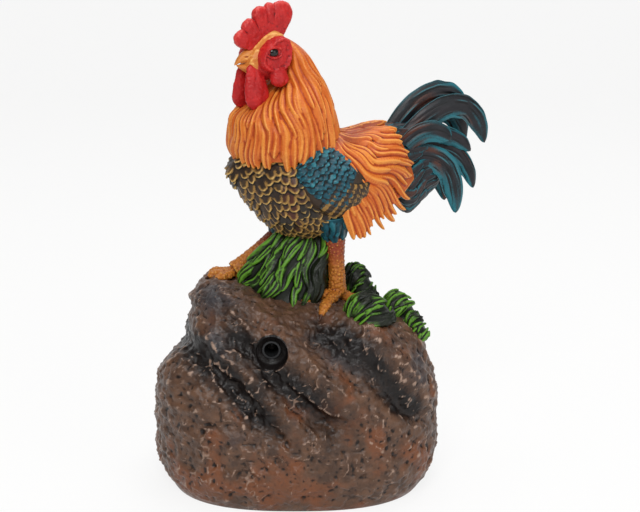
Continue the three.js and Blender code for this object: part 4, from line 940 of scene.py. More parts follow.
def sensor_bore():
    front, back = sensor_low[1], sensor_high[1]
    seat = (sensor_high[2] - sensor_low[2]) / 2 + sensor_seat
    places = (-rock_half_depth - 1, front - flare_depths[0], front - flare_depths[1], front)
    steps = [(y, sensor_mouth * flare) for y, flare in zip(places, sensor_flares)]
    steps += [(front, seat), (back + 1, seat)]
    angle = turns(bore_sides)
    x, _, z = sensor_middle
    rings = [at(x + r * np.cos(angle), depth, z + r * np.sin(angle)) for depth, r in steps]
    return loft(np.stack(rings))


# painted shade in the clefts, set off towards the shaded underside of each crest
cleft_shade, cleft_shade_width, cleft_shade_offset = 1.1, 1.1, 2.5  # strength, share of the cleft, mm
rust_foot, rust_levels = 0.5, (0.6, 0.25)
slate_head, slate_levels = 0.4, (0.5, 0.75)
slate_start = 0.15


def rock_marks(points):
    """Painted shade in the clefts, partly real airbrushing, and in the sensor's hole; grey crown; rust; seam
    highlights.
    """

    def patches(strength, size, seed):
        return strength * rough(points, size, seed, octaves=4)

    share = points[..., 2] / rock_height
    from_axis = np.hypot(points[..., 0] - sensor_middle[0], points[..., 2] - sensor_middle[2])
    # painted shade inside the sensor's hole, on the front half
    bored = smooth(sensor_mouth * sensor_flares[0], sensor_mouth, from_axis) * (points[..., 1] < 0)
    # painted shade along the clefts, partly the real dark airbrushing
    dark = cleft_shade * clefts(points, cleft_width * cleft_shade_width, cleft_shade_offset)
    cleft = dark * cleft_level(points) + patches(strength=0.4, size=16, seed=51)
    rust = patches(strength=0.9, size=13, seed=61) + rust_foot * smooth(*rust_levels, share)
    slate = patches(strength=0.8, size=20, seed=71) + slate_head * smooth(*slate_levels, share) - slate_start
    return {"cleft": cleft, "rust": rust, "slate": slate, "vein": veins(points), "bore": bored}


hollows = [*rock_hollow(), sensor_bore()]
rock_looks = {"reach": 9, "depth": 0.5, "marking": rock_marks}
casting("rock_base", [rock_skin()], "rock_paint", on_rock, cuts=hollows, **rock_looks)

# Torso: an egg-shaped body under rows of scale feathers with gold rims

torso_length = 90
torso_width = 57
torso_depth = 56
torso_middle = 154.5
breast_reach = 40
torso_widths = stations([0.5, 0.76, 0.95, 1, 0.93, 0.68, 0.36])
torso_heights = stations([0.5, 0.78, 0.97, 0.97, 0.72, 0.52, 0.36])
torso_rises = stations([0.1, 0.03, -0.02, -0.03, 0, 0.14, 0.24])
torso_ends = (0.3, 0.12)  # shares of the length over which breast and rump round off
torso_inside = (0, 0, torso_middle)
torso_rows, torso_sides, torso_close = 48, 72, 0.06
torso_sink = 0.4  # of the plain body under its feathers
scale_span = (0.012, 0.7)  # of the torso that has scales, as shares of its length
scale_row = 0.036  # from row to row, likewise
scale_row_stray = 0.012
scale_pitch = 4.4
scale_stray = 0.25  # to each side, over the pitch
scale_width, scale_length = 5.2, 6.8
scale_lift, scale_thickness = 1.2, 0.6
scale_widths, scale_lengths = (0.75, 1.2), (0.8, 1.2)  # least and most, as shares
scale_lie = (-0.5, -0.87)  # back and down
least_scales = 9
back_bare, back_span = (1.1, 0.6), (0.15, 0.35)  # height over which the back is bare, as a cosine, and where
flank_rust, flank_span = 0.27, 0.07
breast_fade, fade_patches = 0.25, 0.9


def torso(s, angle, lift=0.0):
    """A point of the torso: s from breast to rump, angle from the back round to the bird's left."""
    ends = blunt(s, torso_ends[0]) * blunt(1 - s, torso_ends[1])
    wide = torso_width / 2 * torso_widths(s) * ends + lift
    deep = torso_depth / 2 * torso_heights(s) * ends + lift
    rise = torso_middle + torso_depth * torso_rises(s) + deep * np.cos(angle)
    return at(breast_reach - torso_length * s, wide * np.sin(angle), rise)


def strewn_scales(surface, p, q, lie, width, length, lift, rng, **marks):
    """Scale feathers of uneven sizes, each with a tint of its own."""
    width = width * rng.uniform(*scale_widths, p.shape)
    length = length * rng.uniform(*scale_lengths, p.shape)
    tint = rng.random(p.shape)
    return scales(surface, torso_inside, p, q, lie, width, length, lift, scale_thickness, tint=tint, **marks)


def breast_scales(rng):
    shells = []
    for number, s in enumerate(np.arange(*scale_span, scale_row)):
        both = torso_width * torso_widths(s) + torso_depth * torso_heights(s)
        girth = math.pi * both / 2 * blunt(s, torso_ends[0])
        count = max(least_scales, int(girth / scale_pitch))
        stray = rng.uniform(-scale_stray, scale_stray, count)
        angle = (np.arange(count) + 0.5 * (number % 2) + stray) / count * TURN
        angle = angle[np.cos(angle) < mix(*back_bare, smooth(*back_span, s))]
        place = s + rng.uniform(-scale_row_stray, scale_row_stray, angle.shape)
        lie = at(scale_lie[0], rng.uniform(-scale_stray, scale_stray, angle.shape), scale_lie[1])
        rust = np.abs(np.sin(angle)) * bell(s, flank_rust, flank_span)
        fade = breast_fade + fade_patches * rough(torso(place, angle), size=9, seed=91)
        size = (scale_width, scale_length, scale_lift)
        shells.append(strewn_scales(torso, place, angle, lie, *size, rng, rust=rust, fade=fade))
    return shells


torso_core = wrapped(torso, ball_rows(torso_rows, torso_close), torso_sides, -torso_sink)
shells = [torso_core, *breast_scales(draws("torso"))]
casting("torso", shells, "breast_paint", on_bird, voxel=fine_skin)

# Neck cape: layers of long wavy hackle locks that flow from the nape to a ragged hem

head_reach = 20
head_turn = 15 * DEGREE
head_centre = (head_reach, 0, torso_middle + 60)
head_length, head_width, head_height = 26, 20, 22
cape_half = 27.5
cape_drop = 59
cape_top = head_centre[2] + head_height * 0.45
cape_widths = stations([0.2, 0.38, 0.52, 0.68, 0.86, 0.94, 0.98, 1, 1.02])
cape_centres = stations([0.6, 0.62, 0.57, 0.53, 0.62, 0.62, 0.6, 0.58, 0.56])
cape_inside = (head_reach * 0.58, 0, cape_top - cape_drop * 0.6)
cape_sink = 1.7  # of the core under the locks
cape_least = 1.0
cape_round = 0.1  # share of the drop over which the top rounds off
hem_draw, hem_span = 4.5, (0.86, 1.1)  # that the core is drawn in at the hem
throat_depth, throat_start, throat_end = 10.5, (0.1, 0.25), (0.47, 0.68)
jaw_power = 1.4  # how soon the throat ends to the sides
nape_swell, nape_place, nape_span = 3, 0.17, 0.16  # of the feathers behind the crown
nape_lift = 8  # that the hem is higher at the nape than on the breast
cheek_depth, cheek_side, cheek_end = 5.5, (-0.45, 0.0), (0.3, 0.56)  # the cape stands back beside the face
cape_span, cape_rows, cape_sides = (0.012, 0.97), 56, 80
# Start and length of each layer as shares of the drop, number of locks, and half their width in mm
cape_layers = (
    (0.0, 0.42, 28, 1.4),
    (0.1, 0.48, 29, 1.8),
    (0.24, 0.52, 30, 2.1),
    (0.4, 0.52, 31, 2.3),
    (0.52, 0.5, 31, 2.4),
)
lock_stray = 0.25  # of a lock from its even place, over the pitch
lock_slip = 0.05  # of its start, as a share of its path
hackle_height = (0.8, 0.6)  # of a lock in mm, and what is added for each mm of half width
cape_swing, cape_wave = 4.6, (14, 15)  # of the locks to each side, and its length across and along, mm
swing_start = 0.3
cape_stray, stray_power = 0.1, 1.5  # that a lock's tip lies off to one side, in radians
cape_first, face_first = 0.06, 0.32  # where the locks start at the nape, and how much lower by the face
face_side = (-0.3, 0.55)
cape_last, cape_limit = 1.07, 1.06
cape_ends = (-0.12, 0.09)
cape_grow, cape_lift, cape_root = (0.65, 1.35), (0.1, 1.4), -0.9
crown_height, crown_span = 0.5, (0.05, 0.5)  # of the locks near the top, as a share


def cape(k, angle):
    """A point under the locks: k from nape to hem, angle from the breast round to the bird's left."""
    front = np.cos(angle - head_turn)
    nape = nape_swell * np.maximum(0, -front) * bell(k, nape_place, nape_span)
    jaw = np.maximum(0, front) ** jaw_power
    throat = throat_depth * jaw * smooth(*throat_start, k) * (1 - smooth(*throat_end, k))
    cheek = cheek_depth * smooth(*cheek_side, front) * (1 - smooth(*cheek_end, k))
    reach = cape_half * cape_widths(k) * blunt(k, cape_round) + nape - throat - cheek - cape_sink
    reach = np.maximum(reach - hem_draw * smooth(*hem_span, k), cape_least)
    x = head_reach * cape_centres(k) + reach * np.cos(angle)
    return at(x, reach * np.sin(angle), cape_top - cape_drop * k)


def hackle_tall(half):
    return hackle_height[0] + hackle_height[1] * half


def cape_locks(rng):
    shells = []
    for number, (start, length, count, half) in enumerate(cape_layers):
        around = strewn(rng, count, lock_stray, 0.5 * number)
        column = around.shape
        first = cape_first + face_first * smooth(*face_side, np.cos(around - head_turn))
        last = cape_last - nape_lift / 2 * (1 - np.cos(around)) / cape_drop
        begin = mix(first, last, start + rng.uniform(-lock_slip, lock_slip, column))
        end = mix(first, last, np.minimum(start + length + rng.uniform(*cape_ends, column), cape_limit))
        k = mix(begin, end, lock_share)
        swing = cape_swing * flow(around * cape_half, k * cape_drop, *cape_wave, seed=7)
        angle = around + swing * smooth(0.0, swing_start, k) / (cape_half * cape_widths(k))
        angle = angle + cape_stray * rng.uniform(-1, 1, column) * lock_share**stray_power
        grow = rng.uniform(*cape_grow, column) * lock_outline(lock_share)
        lift = mix(cape_root, rng.uniform(*cape_lift, column), lock_share)
        ease = mix(crown_height, 1, smooth(*crown_span, k))
        shells.append(locks(cape, cape_inside, k, angle, half, hackle_tall(half), grow, lift, rng, ease))
    return shells


cape_core = wrapped(cape, np.linspace(*cape_span, cape_rows), cape_sides)
shells = [cape_core, *cape_locks(draws("cape"))]
casting("neck_hackle", shells, "hackle_paint", on_bird, voxel=fine_skin)

# Head: skull, beak, comb, wattles, face and eyes, in the head's own frame

head_widths = stations([0.55, 0.86, 1, 0.97, 0.74, 0.46])
head_heights = stations([0.6, 0.9, 1, 0.93, 0.7, 0.4])
head_ends = (0.3, 0.08)
head_rows, head_sides, head_close = 72, 96, 0.1
brow_drop, brow_start = 1.5, 0.6
crown_swell, crown_place, crown_width = 2.6, 0.36, 0.26
down_height, down_stretch = 0.3, (0.35, 1, 1)
blush_fray = 1.3
blush_levels, blush_back, blush_front = (1.5, -2.0), (-9, -6), (10, 8)


def on_head(points):
    return on_bird(turned(points, head_turn, head_centre))


def skull(s, angle):
    ends = blunt(s, head_ends[0]) * blunt(1 - s, head_ends[1])
    wide = head_width / 2 * head_widths(s) * ends
    deep = head_height / 2 * head_heights(s) * ends
    crown = crown_swell * bell(s, crown_place, crown_width) * np.maximum(0, np.cos(angle)) ** 2
    rise = deep * np.cos(angle) + crown - brow_drop * smooth(brow_start, 1, s)
    return at(head_length * (s - 0.5), wide * np.sin(angle), rise)


def skull_down(points, marks):
    """Short hair-like feathers that lie back over the skull."""
    return down_height * rough(points, size=1.5, seed=81, stretch=down_stretch)


def throat_blush(points):
    """The red of the face runs on under the jaw."""
    x, y, z = points.T
    ragged = z + blush_fray * rough(points, size=4, seed=83)
    return {"blush": smooth(*blush_levels, ragged) * smooth(*blush_back, x) * smooth(*blush_front, x)}


skull_shell = wrapped(skull, ball_rows(head_rows, head_close), head_sides)
skull_looks = {"texture": skull_down, "depth": 0.2, "marking": throat_blush}
casting("head", [skull_shell], "skin_paint", on_head, **skull_looks)

beak_root = head_length / 2 - 5
beak_steps, beak_sides = 60, 48
beak_sizes = {"beak_upper": (10.5, 4.2, 3.4), "beak_lower": (9.2, 3.9, 2.2)}  # length, width, height
beak_taper = (0.14, 1.3)  # width of the tip as a share, and how late it comes
beak_arch, beak_edge = 1.7, 0.35
beak_tip, beak_round = 0.2, 0.08
hook_drop, hook_start = 1.0, 0.7
mouth_level, mouth_gap = -1.4, 0.7
nostril_x, nostril_z = (beak_root + 5.2, 1.1), (head_height * 0.036 + 0.8, 0.45)  # place and half size
nostril_depth = 0.8
growth_height, growth_stretch = 0.12, (1, 0.5, 0.5)


def beak(node):
    """Half a beak: flat along the mouth, arched away from it, and hooked at the tip of the upper one."""
    length, wide, tall = beak_sizes[node]
    share = np.linspace(0, 1, beak_steps)[:, None]
    angle = turns(beak_sides)[None, :]
    end = np.maximum(beak_tip, blunt(1 - share, beak_round))
    half_width = wide * mix(1, beak_taper[0], share ** beak_taper[1]) * end
    half_height = (tall * (1 - share**beak_arch) + beak_edge) * end
    if node == "beak_upper":
        middle = mouth_level + half_height - hook_drop * smooth(hook_start, 1, share)
    else:
        middle = mouth_level - mouth_gap - half_height
    rise = middle + half_height * np.sin(angle)
    return loft(at(beak_root + length * share, half_width * np.cos(angle), rise))


def nostril(points, marks):
    """A slit on each side of the upper beak, and faint growth lines."""
    x, y, z = points.T
    slit = bell(x, *nostril_x) * bell(z, *nostril_z)
    return growth_height * rough(points, size=1.2, seed=91, stretch=growth_stretch) - nostril_depth * slit


for node in beak_sizes:
    casting(node, [beak(node)], "skin_paint", on_head, texture=nostril, depth=0.25)

comb_creases = np.array([22, 46.5, 68, 88, 99.5, 128])  # degrees up from the beak
crease_heights = np.array([0.3, 0.53, 0.51, 0.75, 0.84, 0.58])  # as shares of the comb's height
lobe_heights = np.array([0.6, 0.65, 0.83, 0.89, 1])
comb_height = 17.2
comb_thickness = 5.2
comb_columns, comb_rows = 190, 34
comb_root = head_height * 0.3
comb_bulge, bulge_span = (0.68, 1.08), (0.45, 0.85)  # thickness at creases and lobes, and where it sets in
comb_edge, comb_round = 0.1, 0.3
pebble_height, pebble_swell = 0.3, 0.25


def comb_shell():
    """A thick blade whose edge is a fan of round lobes, a little drawn in at the creases."""
    bearing = np.linspace(comb_creases[0], comb_creases[-1], comb_columns)
    lobe = np.clip(np.searchsorted(comb_creases, bearing, "right") - 1, 0, len(lobe_heights) - 1)
    across = (bearing - comb_creases[lobe]) / (comb_creases[lobe + 1] - comb_creases[lobe])
    low = mix(crease_heights[lobe], crease_heights[lobe + 1], across)
    round_ = np.sqrt(np.maximum(0, 1 - (2 * across - 1) ** 2))
    reach = head_height / 2 + comb_height * mix(low, lobe_heights[lobe], round_)
    v = np.linspace(0, 1, comb_rows)[None, :]
    r = mix(comb_root, reach[:, None], v)
    bulge = mix(1, mix(*comb_bulge, round_)[:, None], smooth(*bulge_span, v))
    half = comb_thickness / 2 * bulge * np.maximum(comb_edge, blunt(1 - v, comb_round))
    angle = (bearing * DEGREE)[:, None]
    face, back = (at(r * np.cos(angle), side * half, r * np.sin(angle)) for side in (1, -1))
    return slab(face, back)


def pebbled(points, marks):
    """The grainy skin of comb, face and wattles."""
    grains = pebble_height * beads(points, size=1.5, seed=101, width=0.75)
    return grains + pebble_swell * rough(points, size=3, seed=111)


casting("comb", [comb_shell()], "comb_paint", on_head, texture=pebbled, reach=8, depth=0.25)

drop_steps, drop_sides = 64, 72
drop_ends, drop_least = (0.3, 0.12), (0.06, 0.4)  # shares that round off below and above, least widths
drop_root, drop_full = 0.8, 0.65  # width at the root, and where the full width is reached
fold_angles, fold_width = (1.2, 2.1, 4.2, 5.1), 0.16  # in radians
fold_depth = 0.12  # as a share of the thickness
fold_wander, fold_wave = 0.3, 4


def drop(length, width, thickness, lean, place, side, root=drop_root):
    """A soft hanging lobe, widest near its round bottom, with folds down its faces.

    place is where the left one hangs; the right one's mirrors it.
    """
    share = np.linspace(0, 1, drop_steps)[:, None]
    angle = turns(drop_sides)[None, :]
    bottom = np.maximum(drop_least[0], blunt(1 - share, drop_ends[0]))
    ends = bottom * np.maximum(drop_least[1], blunt(share, drop_ends[1]))
    r = width / 2 * mix(root, 1, smooth(0, drop_full, share)) * ends
    wander = fold_wander * np.sin(fold_wave * share + side)
    fold = 1.0
    for fold_angle in fold_angles:
        fold = fold - fold_depth * bell(angle - fold_angle, wander, fold_width)
    x = r * np.cos(angle)
    y = r * np.sin(angle) * thickness / width * fold
    z = -length * share
    lean *= side
    swung = at(x, y * math.cos(lean) - z * math.sin(lean), y * math.sin(lean) + z * math.cos(lean))
    return loft(swung + np.array(place) * np.array([1, side, 1]))


face_radius, face_wave, face_lobes = 8.2, 0.06, (3, 0.6)  # of the disc, and the waves of its outline
face_rows, face_back, face_sides = 40, 8, 96
face_start, face_close = 0.02, 0.04
face_rise, face_sink, face_slant, face_stretch = 1.1, 5, 0.22, 1.02
face_place = (head_length * 0.01, head_height * 0.09)
rim_rise, rim_place, rim_groove = 0.55, (0.9, 0.1), (0.68, 0.12)
crease_rise, crease_waves, crease_span = 0.25, (7, 9), (0.35, 0.6)
crease_share = 0.6
edge_fall, edge_start = 1.6, 0.92
eye_radius, eye_long, eye_sink = 2.7, 1.1, 0.5
eye_place = (head_length * 0.11, head_height * 0.17)
eye_rows, eye_sides, eye_close = 32, 48, 0.06
lid_length, lid_arch, lid_gap = 8.4, 2.35, 0.15
lid_out, lid_steps, lid_sides = 1.5, 24, 12
lid_thick = (0.3, 0.3)  # at the corners, and what is added in the middle


def face_shell(side):
    """A red disc round the eye with a raised rim."""
    out = np.linspace(face_start, 1, face_rows)
    share = np.concatenate([out, np.linspace(1, face_close, face_back)])[:, None]
    under = (np.arange(face_rows + face_back) >= face_rows)[:, None]
    angle = turns(face_sides)[None, :]
    oval = face_radius * (1 + face_wave * np.cos(face_lobes[0] * angle + face_lobes[1]))
    rim = bell(share, *rim_place) - 0.5 * bell(share, *rim_groove)
    creases = crease_rise * np.sin(crease_waves[0] * angle + crease_waves[1] * share)
    creases = creases * smooth(*crease_span, share)
    rise = face_rise + rim_rise * rim + creases * crease_share - edge_fall * smooth(edge_start, 1, share)
    rise = np.where(under, -face_sink, rise)
    slant = oval * share * np.sin(angle)
    x = oval * share * np.cos(angle) * face_stretch - face_slant * slant + face_place[0]
    z = slant * face_stretch + face_place[1]
    return loft(at(x, side * (head_width / 2 + rise), z))


def lids(side):
    """The two lids, which close the eye to an almond."""
    share = np.linspace(0, 1, lid_steps)
    angle = turns(lid_sides)
    ring = at(0 * angle, np.cos(angle), np.sin(angle))
    thick = (lid_thick[0] + lid_thick[1] * np.sin(math.pi * share))[:, None, None]
    shells = []
    for up in (1, -1):
        along = (share - 0.5) * lid_length
        arch = up * (lid_arch * np.sqrt(np.maximum(0, 1 - (2 * share - 1) ** 2)) + lid_gap)
        curve = at(along + eye_place[0], side * (head_width / 2 + lid_out), arch + eye_place[1])
        shells.append(loft(curve[:, None] + ring[None] * thick))
    return shells


def eye_shell(side):
    ball = np.linspace(eye_close, math.pi - eye_close, eye_rows)[:, None]
    angle = turns(eye_sides)[None, :]
    place = np.array([eye_place[0], side * (head_width / 2 - eye_sink), eye_place[1]])
    across, up = side * np.sin(ball) * np.sin(angle), np.sin(ball) * np.cos(angle)
    return loft(eye_radius * at(np.cos(ball) * eye_long, across, up) + place)


wattle_size, wattle_lean, wattle_root = (22.8, 13, 5), 8 * DEGREE, 0.62  # length, width and thickness
wattle_place = (head_length * 0.37, 3.6, -head_height * 0.07)
earlobe_size, earlobe_lean = (9.4, 9.2, 6.4), 11 * DEGREE
earlobe_place = (-0.4, 9.2, -head_height * 0.16)
for name, side in SIDES.items():
    wattle = drop(*wattle_size, wattle_lean, wattle_place, side, wattle_root)
    fleshy = {"texture": pebbled, "reach": 8, "depth": 0.3}
    casting("wattle_" + name, [wattle], "comb_paint", on_head, **fleshy)
    earlobe = drop(*earlobe_size, earlobe_lean, earlobe_place, side)
    shells = [face_shell(side), earlobe, *lids(side)]
    grainy = {"texture": pebbled, "reach": 10, "depth": 0.25}
    casting("face_" + name, shells, "comb_paint", on_head, voxel=finest_skin, **grainy)
    casting("eye_" + name, [eye_shell(side)], "eye_black", on_head)

# Wings: a shield of teal scale feathers over barred flight feathers

wing_start = 0.29
wing_span = 38 / torso_length
wing_half = 37 / torso_width
wing_thickness, wing_sink, wing_under = 4.5, 0.6, 2.0
wing_leaf = stations([0.4, 0.95, 1.05, 0.85, 0.3])
wing_angles = (72 * DEGREE, 92 * DEGREE)  # of its middle line, from the back, at shoulder and tip
wing_least, wing_shoulder, wing_ends = 0.25, 0.2, (0.25, 0.3)
wing_power = 3  # how flat its middle is
wing_edge, wing_rows, wing_columns = (0.01, 0.99), 40, 30
plume_edge, plume_lean, plume_rise = (0.62, 0.74), 0.2, 0.35
shield_rows, shield_columns = (0.06, 0.7, 0.058), (0.04, 0.74, 0.075)  # first, last and step
shield_slant, shield_shift, shield_stray = 0.25, 0.037, 0.02
shield_lie, shield_size = (-0.55, 0, -0.85), (3.5, 4.3, 1.1)  # width, length and lift
flight_count, flight_steps = 7, 30
flight_root, flight_tip = (0.42, 0.02), (1.06, 0.012)  # along the wing, and how much less by each feather
flight_high, flight_low, flight_bend = (0.52, 0.05), (0.58, 0.075), 0.03  # across it
flight_half, flight_height, flight_lift, flight_pile = 2.6, 1.0, (-0.3, 0.5), 0.12
flight_narrow, flight_full, flight_end = 0.7, 0.3, 0.06
bar_count, bar_level, bar_strength = 7, 0.2, 0.9


def wing_angle(side, u, v):
    spread = (2 * v - 1) * wing_half * wing_leaf(u) * np.maximum(wing_least, blunt(u, wing_shoulder))
    return side * (mix(*wing_angles, u) + spread)


def wing(side):
    def surface(u, v):
        """u from shoulder to tip, v from the upper edge to the lower."""
        ends = np.maximum(wing_least, blunt(u, wing_ends[0]) * blunt(1 - u, wing_ends[1]))
        lift = wing_thickness * (1 - np.abs(2 * v - 1) ** wing_power) * ends - wing_sink
        return torso(wing_start + u * wing_span, wing_angle(side, u, v), lift)

    return surface


def wing_core(side):
    u = np.linspace(*wing_edge, wing_rows)[:, None]
    v = np.linspace(*wing_edge, wing_columns)[None, :]
    under = torso(wing_start + u * wing_span, wing_angle(side, u, v), -wing_under)
    plume = smooth(*plume_edge, np.maximum(v + plume_lean * (u - 0.5), u + plume_rise * (v - 0.5)))
    return slab(wing(side)(u, v), under, plume=plume)


def wing_scales(side, rng):
    shells = []
    first, last, step = shield_columns
    for number, v in enumerate(np.arange(*shield_rows)):
        u = np.arange(first, last - shield_slant * v, step) + shield_shift * (number % 2)
        u = u + rng.uniform(-shield_stray, shield_stray, u.shape)
        v = v + rng.uniform(-shield_stray, shield_stray, u.shape)
        shells.append(strewn_scales(wing(side), u, v, shield_lie, *shield_size, rng))
    return shells


def flight_feathers(side, rng):
    """Long barred feathers that come out from under the shield and lie back along the flank."""
    row = np.arange(flight_count)[:, None]
    share = np.linspace(0, 1, flight_steps)[None, :]
    u = mix(flight_root[0] - flight_root[1] * row, flight_tip[0] - flight_tip[1] * row, share)
    v = mix(flight_high[0] + flight_high[1] * row, flight_low[0] + flight_low[1] * row, share)
    v = v + flight_bend * share**2
    outline = mix(flight_narrow, 1, smooth(0, flight_full, share))
    outline = outline * np.maximum(flight_end, blunt(1 - share, flight_full))
    bar = (np.sin(TURN * share * bar_count + row) > bar_level) * bar_strength
    lift = mix(*flight_lift, share) + flight_pile * row
    marks = {"plume": 1.0, "bar": bar}
    size = (flight_half, flight_height, outline, lift)
    return locks(wing(side), torso_inside, u, v, *size, rng, furrows=3, **marks)


for name, side in SIDES.items():
    rng = draws("wing", side)
    shells = [wing_core(side), *wing_scales(side, rng), flight_feathers(side, rng)]
    casting("wing_" + name, shells, "wing_paint", on_bird, voxel=finer_skin)

# Saddle: hackles that fan back from the parting over the rump and hang in pointed locks

saddle_span = (0.58, 0.93)
saddle_parting, saddle_fall = 0.7 * DEGREE, 100 * DEGREE
saddle_hold = 0.72  # share of the sheet that lies on the torso
saddle_bend = 0.1  # share over which it bends from there into its hang
saddle_hem = (0.78, 0.93)  # where the sheet ends under the tips, at the neck and at the tail
saddle_drops = stations([21, 20, 21, 20, 16])  # of the tips, from the neck to the tail
saddle_sweep, saddle_draw = 12, 3  # of the tips to the back and inward, mm
sweep_start = 0.15  # share of the sweep at the neck
saddle_inside = (-22, 0, torso_middle - 4)
saddle_front = -0.24  # where the sheet starts under the neck, in its own u
saddle_rows, saddle_columns, saddle_widen = 34, 36, 0.3
saddle_lift, saddle_under = 1.0, -1.5  # of the sheet's two faces over the torso
saddle_seat = 1.2  # of the locks over it
saddle_long = 32
saddle_girth = 70
saddle_swing, saddle_wave = 4.0, (13, 17)
swing_span, swing_slant, swing_limits = (0, 0.2), 0.7, (0.01, 1.1)
# Start and length of each layer as shares of a lock's path, number of locks, and half their width in mm
saddle_layers = ((0.0, 0.5, 14, 1.9), (0.16, 0.54, 15, 2.2), (0.34, 0.56, 18, 2.4), (0.5, 0.52, 20, 2.4))
rust_start, rust_slant = (0.5, 0.12), 0.25
fan_back = 0.36  # share of the fan whose locks end at the tail
fan_from_u, fan_from_v, fan_power = (-0.02, saddle_front), (0.03, 0.5), 1.2
fan_from_stray = 0.06
fan_to_u = (1.02, 0.02)
tail_to_v, side_to_v, side_span = (0.03, 0.84), (0.88, 1.0), (0.36, 0.56)
path_power, path_stray, path_limit = 1.15, 0.06, 1.03
saddle_grow, saddle_full = (0.65, 1.4), 0.75  # sizes, and a power under 1 that keeps the tips full
saddle_lifts, saddle_root = (0.2, 1.6), -0.8


def saddle(side):
    def surface(u, v, lift=saddle_seat):
        """u from the neck to the tail, v from the parting to the tips."""
        past = v - saddle_hold
        free = (past + np.hypot(past, saddle_bend)) / 2
        held = (v - free) / saddle_hold
        hang = free / (1 - saddle_hold)
        points = torso(mix(*saddle_span, u), side * mix(saddle_parting, saddle_fall, held), lift)
        sweep = saddle_sweep * v**2 * mix(sweep_start, 1, np.clip(u, 0, 1))
        return points - at(sweep, side * saddle_draw * hang, saddle_drops(u) * hang)

    return surface


def saddle_rust(u, v):
    """The reddish back between the neck and the fan."""
    return smooth(*rust_start, v + rust_slant * u)


def saddle_core(side):
    u = np.linspace(saddle_front, 1, saddle_rows)[:, None]
    v = np.linspace(0, 1, saddle_columns)[None, :] * mix(*saddle_hem, smooth(saddle_front, saddle_widen, u))
    top, under = (saddle(side)(u, v, lift) for lift in (saddle_lift, saddle_under))
    return slab(top, under, rust=saddle_rust(u, v))


def saddle_locks(side, rng):
    shells = []
    for start, length, count, half in saddle_layers:
        stray = rng.uniform(-lock_stray, lock_stray, count)
        fan = ((np.arange(count) + stray) / (count - 1))[:, None].clip(0, 1)
        column = fan.shape
        back = fan < fan_back
        from_u = mix(*fan_from_u, fan) + fan_from_stray * rng.random(column)
        from_v = mix(*fan_from_v, fan**fan_power)
        to_u = np.where(back, fan_to_u[0], mix(*fan_to_u, (fan - fan_back) / (1 - fan_back)))
        to_v = np.where(back, mix(*tail_to_v, fan / fan_back), mix(*side_to_v, smooth(*side_span, fan)))
        begin = start + rng.uniform(-lock_slip, lock_slip, column)
        end = np.minimum(begin + length + rng.uniform(-path_stray, path_stray, column), path_limit)
        path = mix(begin, end, lock_share)
        u = mix(from_u, to_u, path)
        v = mix(from_v, to_v, path**path_power)
        swing = saddle_swing * flow(u * saddle_long, v * saddle_girth, *saddle_wave, seed=9)
        swing = swing * smooth(*swing_span, path)
        u = u + swing / saddle_long
        v = np.clip(v - swing_slant * swing / saddle_girth, *swing_limits)
        grow = rng.uniform(*saddle_grow, column) * lock_outline(lock_share) ** saddle_full
        lift = mix(saddle_root, rng.uniform(*saddle_lifts, column), lock_share)
        size = (half, hackle_tall(half), grow, lift)
        shells.append(locks(saddle(side), saddle_inside, u, v, *size, rng, rust=saddle_rust(u, v)))
    return shells


for name, side in SIDES.items():
    shells = [saddle_core(side), *saddle_locks(side, draws("saddle", side))]
    # the smaller relief depth deepens the saddles' painted shade in the grooves and their painted highlights
    casting("saddle_" + name, shells, "hackle_paint", on_bird, voxel=finer_skin, depth=0.22)

# Tail: a wedge of barbed fluff under a fan of sickle feathers

tail_root = breast_reach - torso_length
tail_length = 45
tail_rise = 50
tail_spread = 11
feather_width = 13
feather_thickness = 4.2 * 0.85  # a little less than the solid's, because the strokes add to it
feather_leaf = stations([0.8, 0.95, 1, 1, 0.85, 0.5])
feather_tip, feather_round = 0.08, 0.14  # least width, and the share that rounds off to it
feather_steps, feather_columns = 120, 38
feather_gap = 20  # between two feathers in the noise, mm
blade_power, blade_edge = 2.4, 0.12
quill_height, quill_width = 0.3, 0.09
thin_tip, thin_span = 0.3, 0.2
stroke_span = (1.02, 0.8)
fray, fray_size, fray_span, fray_sides = 0.12, 4, (0.2, 0.6), 30
rim_sides, both_rims, rim_share = (-0.3, 0.9), (0.5, 0.95), 0.8
teal_strength, teal_root, teal_span = 0.95, 0.35, (0.05, 0.5)
rust_share = 0.3
# Root, bend and tip of each feather as shares of the tail's length, spread and rise, and its width
sickles = (
    ((-0.12, 0, 0.36), (0.32, 0.1, 0.96), (0.78, 0.1, 0.68), 0.96),
    ((0, 0.45, 0.32), (0.78, 0.55, 1), (1, 0.45, 0.24), 0.96),
    ((0, 0.72, 0.28), (0.25, 1, 0.52), (0.52, 1, 0.32), 0.85),
    ((0, 0.1, 0.24), (0.55, 0.1, 0.48), (0.88, 0, 0.14), 0.73),
    ((0, -0.1, 0.16), (0.78, -0.1, 0.36), (0.95, -0.18, -0.26), 0.8),
    ((0, 0.55, 0.12), (0.6, 0.82, 0.28), (0.63, 0.73, -0.46), 1),
    ((0, -0.55, 0.3), (0.7, -0.73, 0.88), (0.9, -0.82, 0.2), 0.96),
    ((0, -0.55, 0.1), (0.6, -0.9, 0.28), (0.66, -0.82, -0.4), 1),
)


def tail_place(shares):
    reach, side, rise = shares
    return np.array([tail_root - reach * tail_length, side * tail_spread, torso_middle + rise * tail_rise])


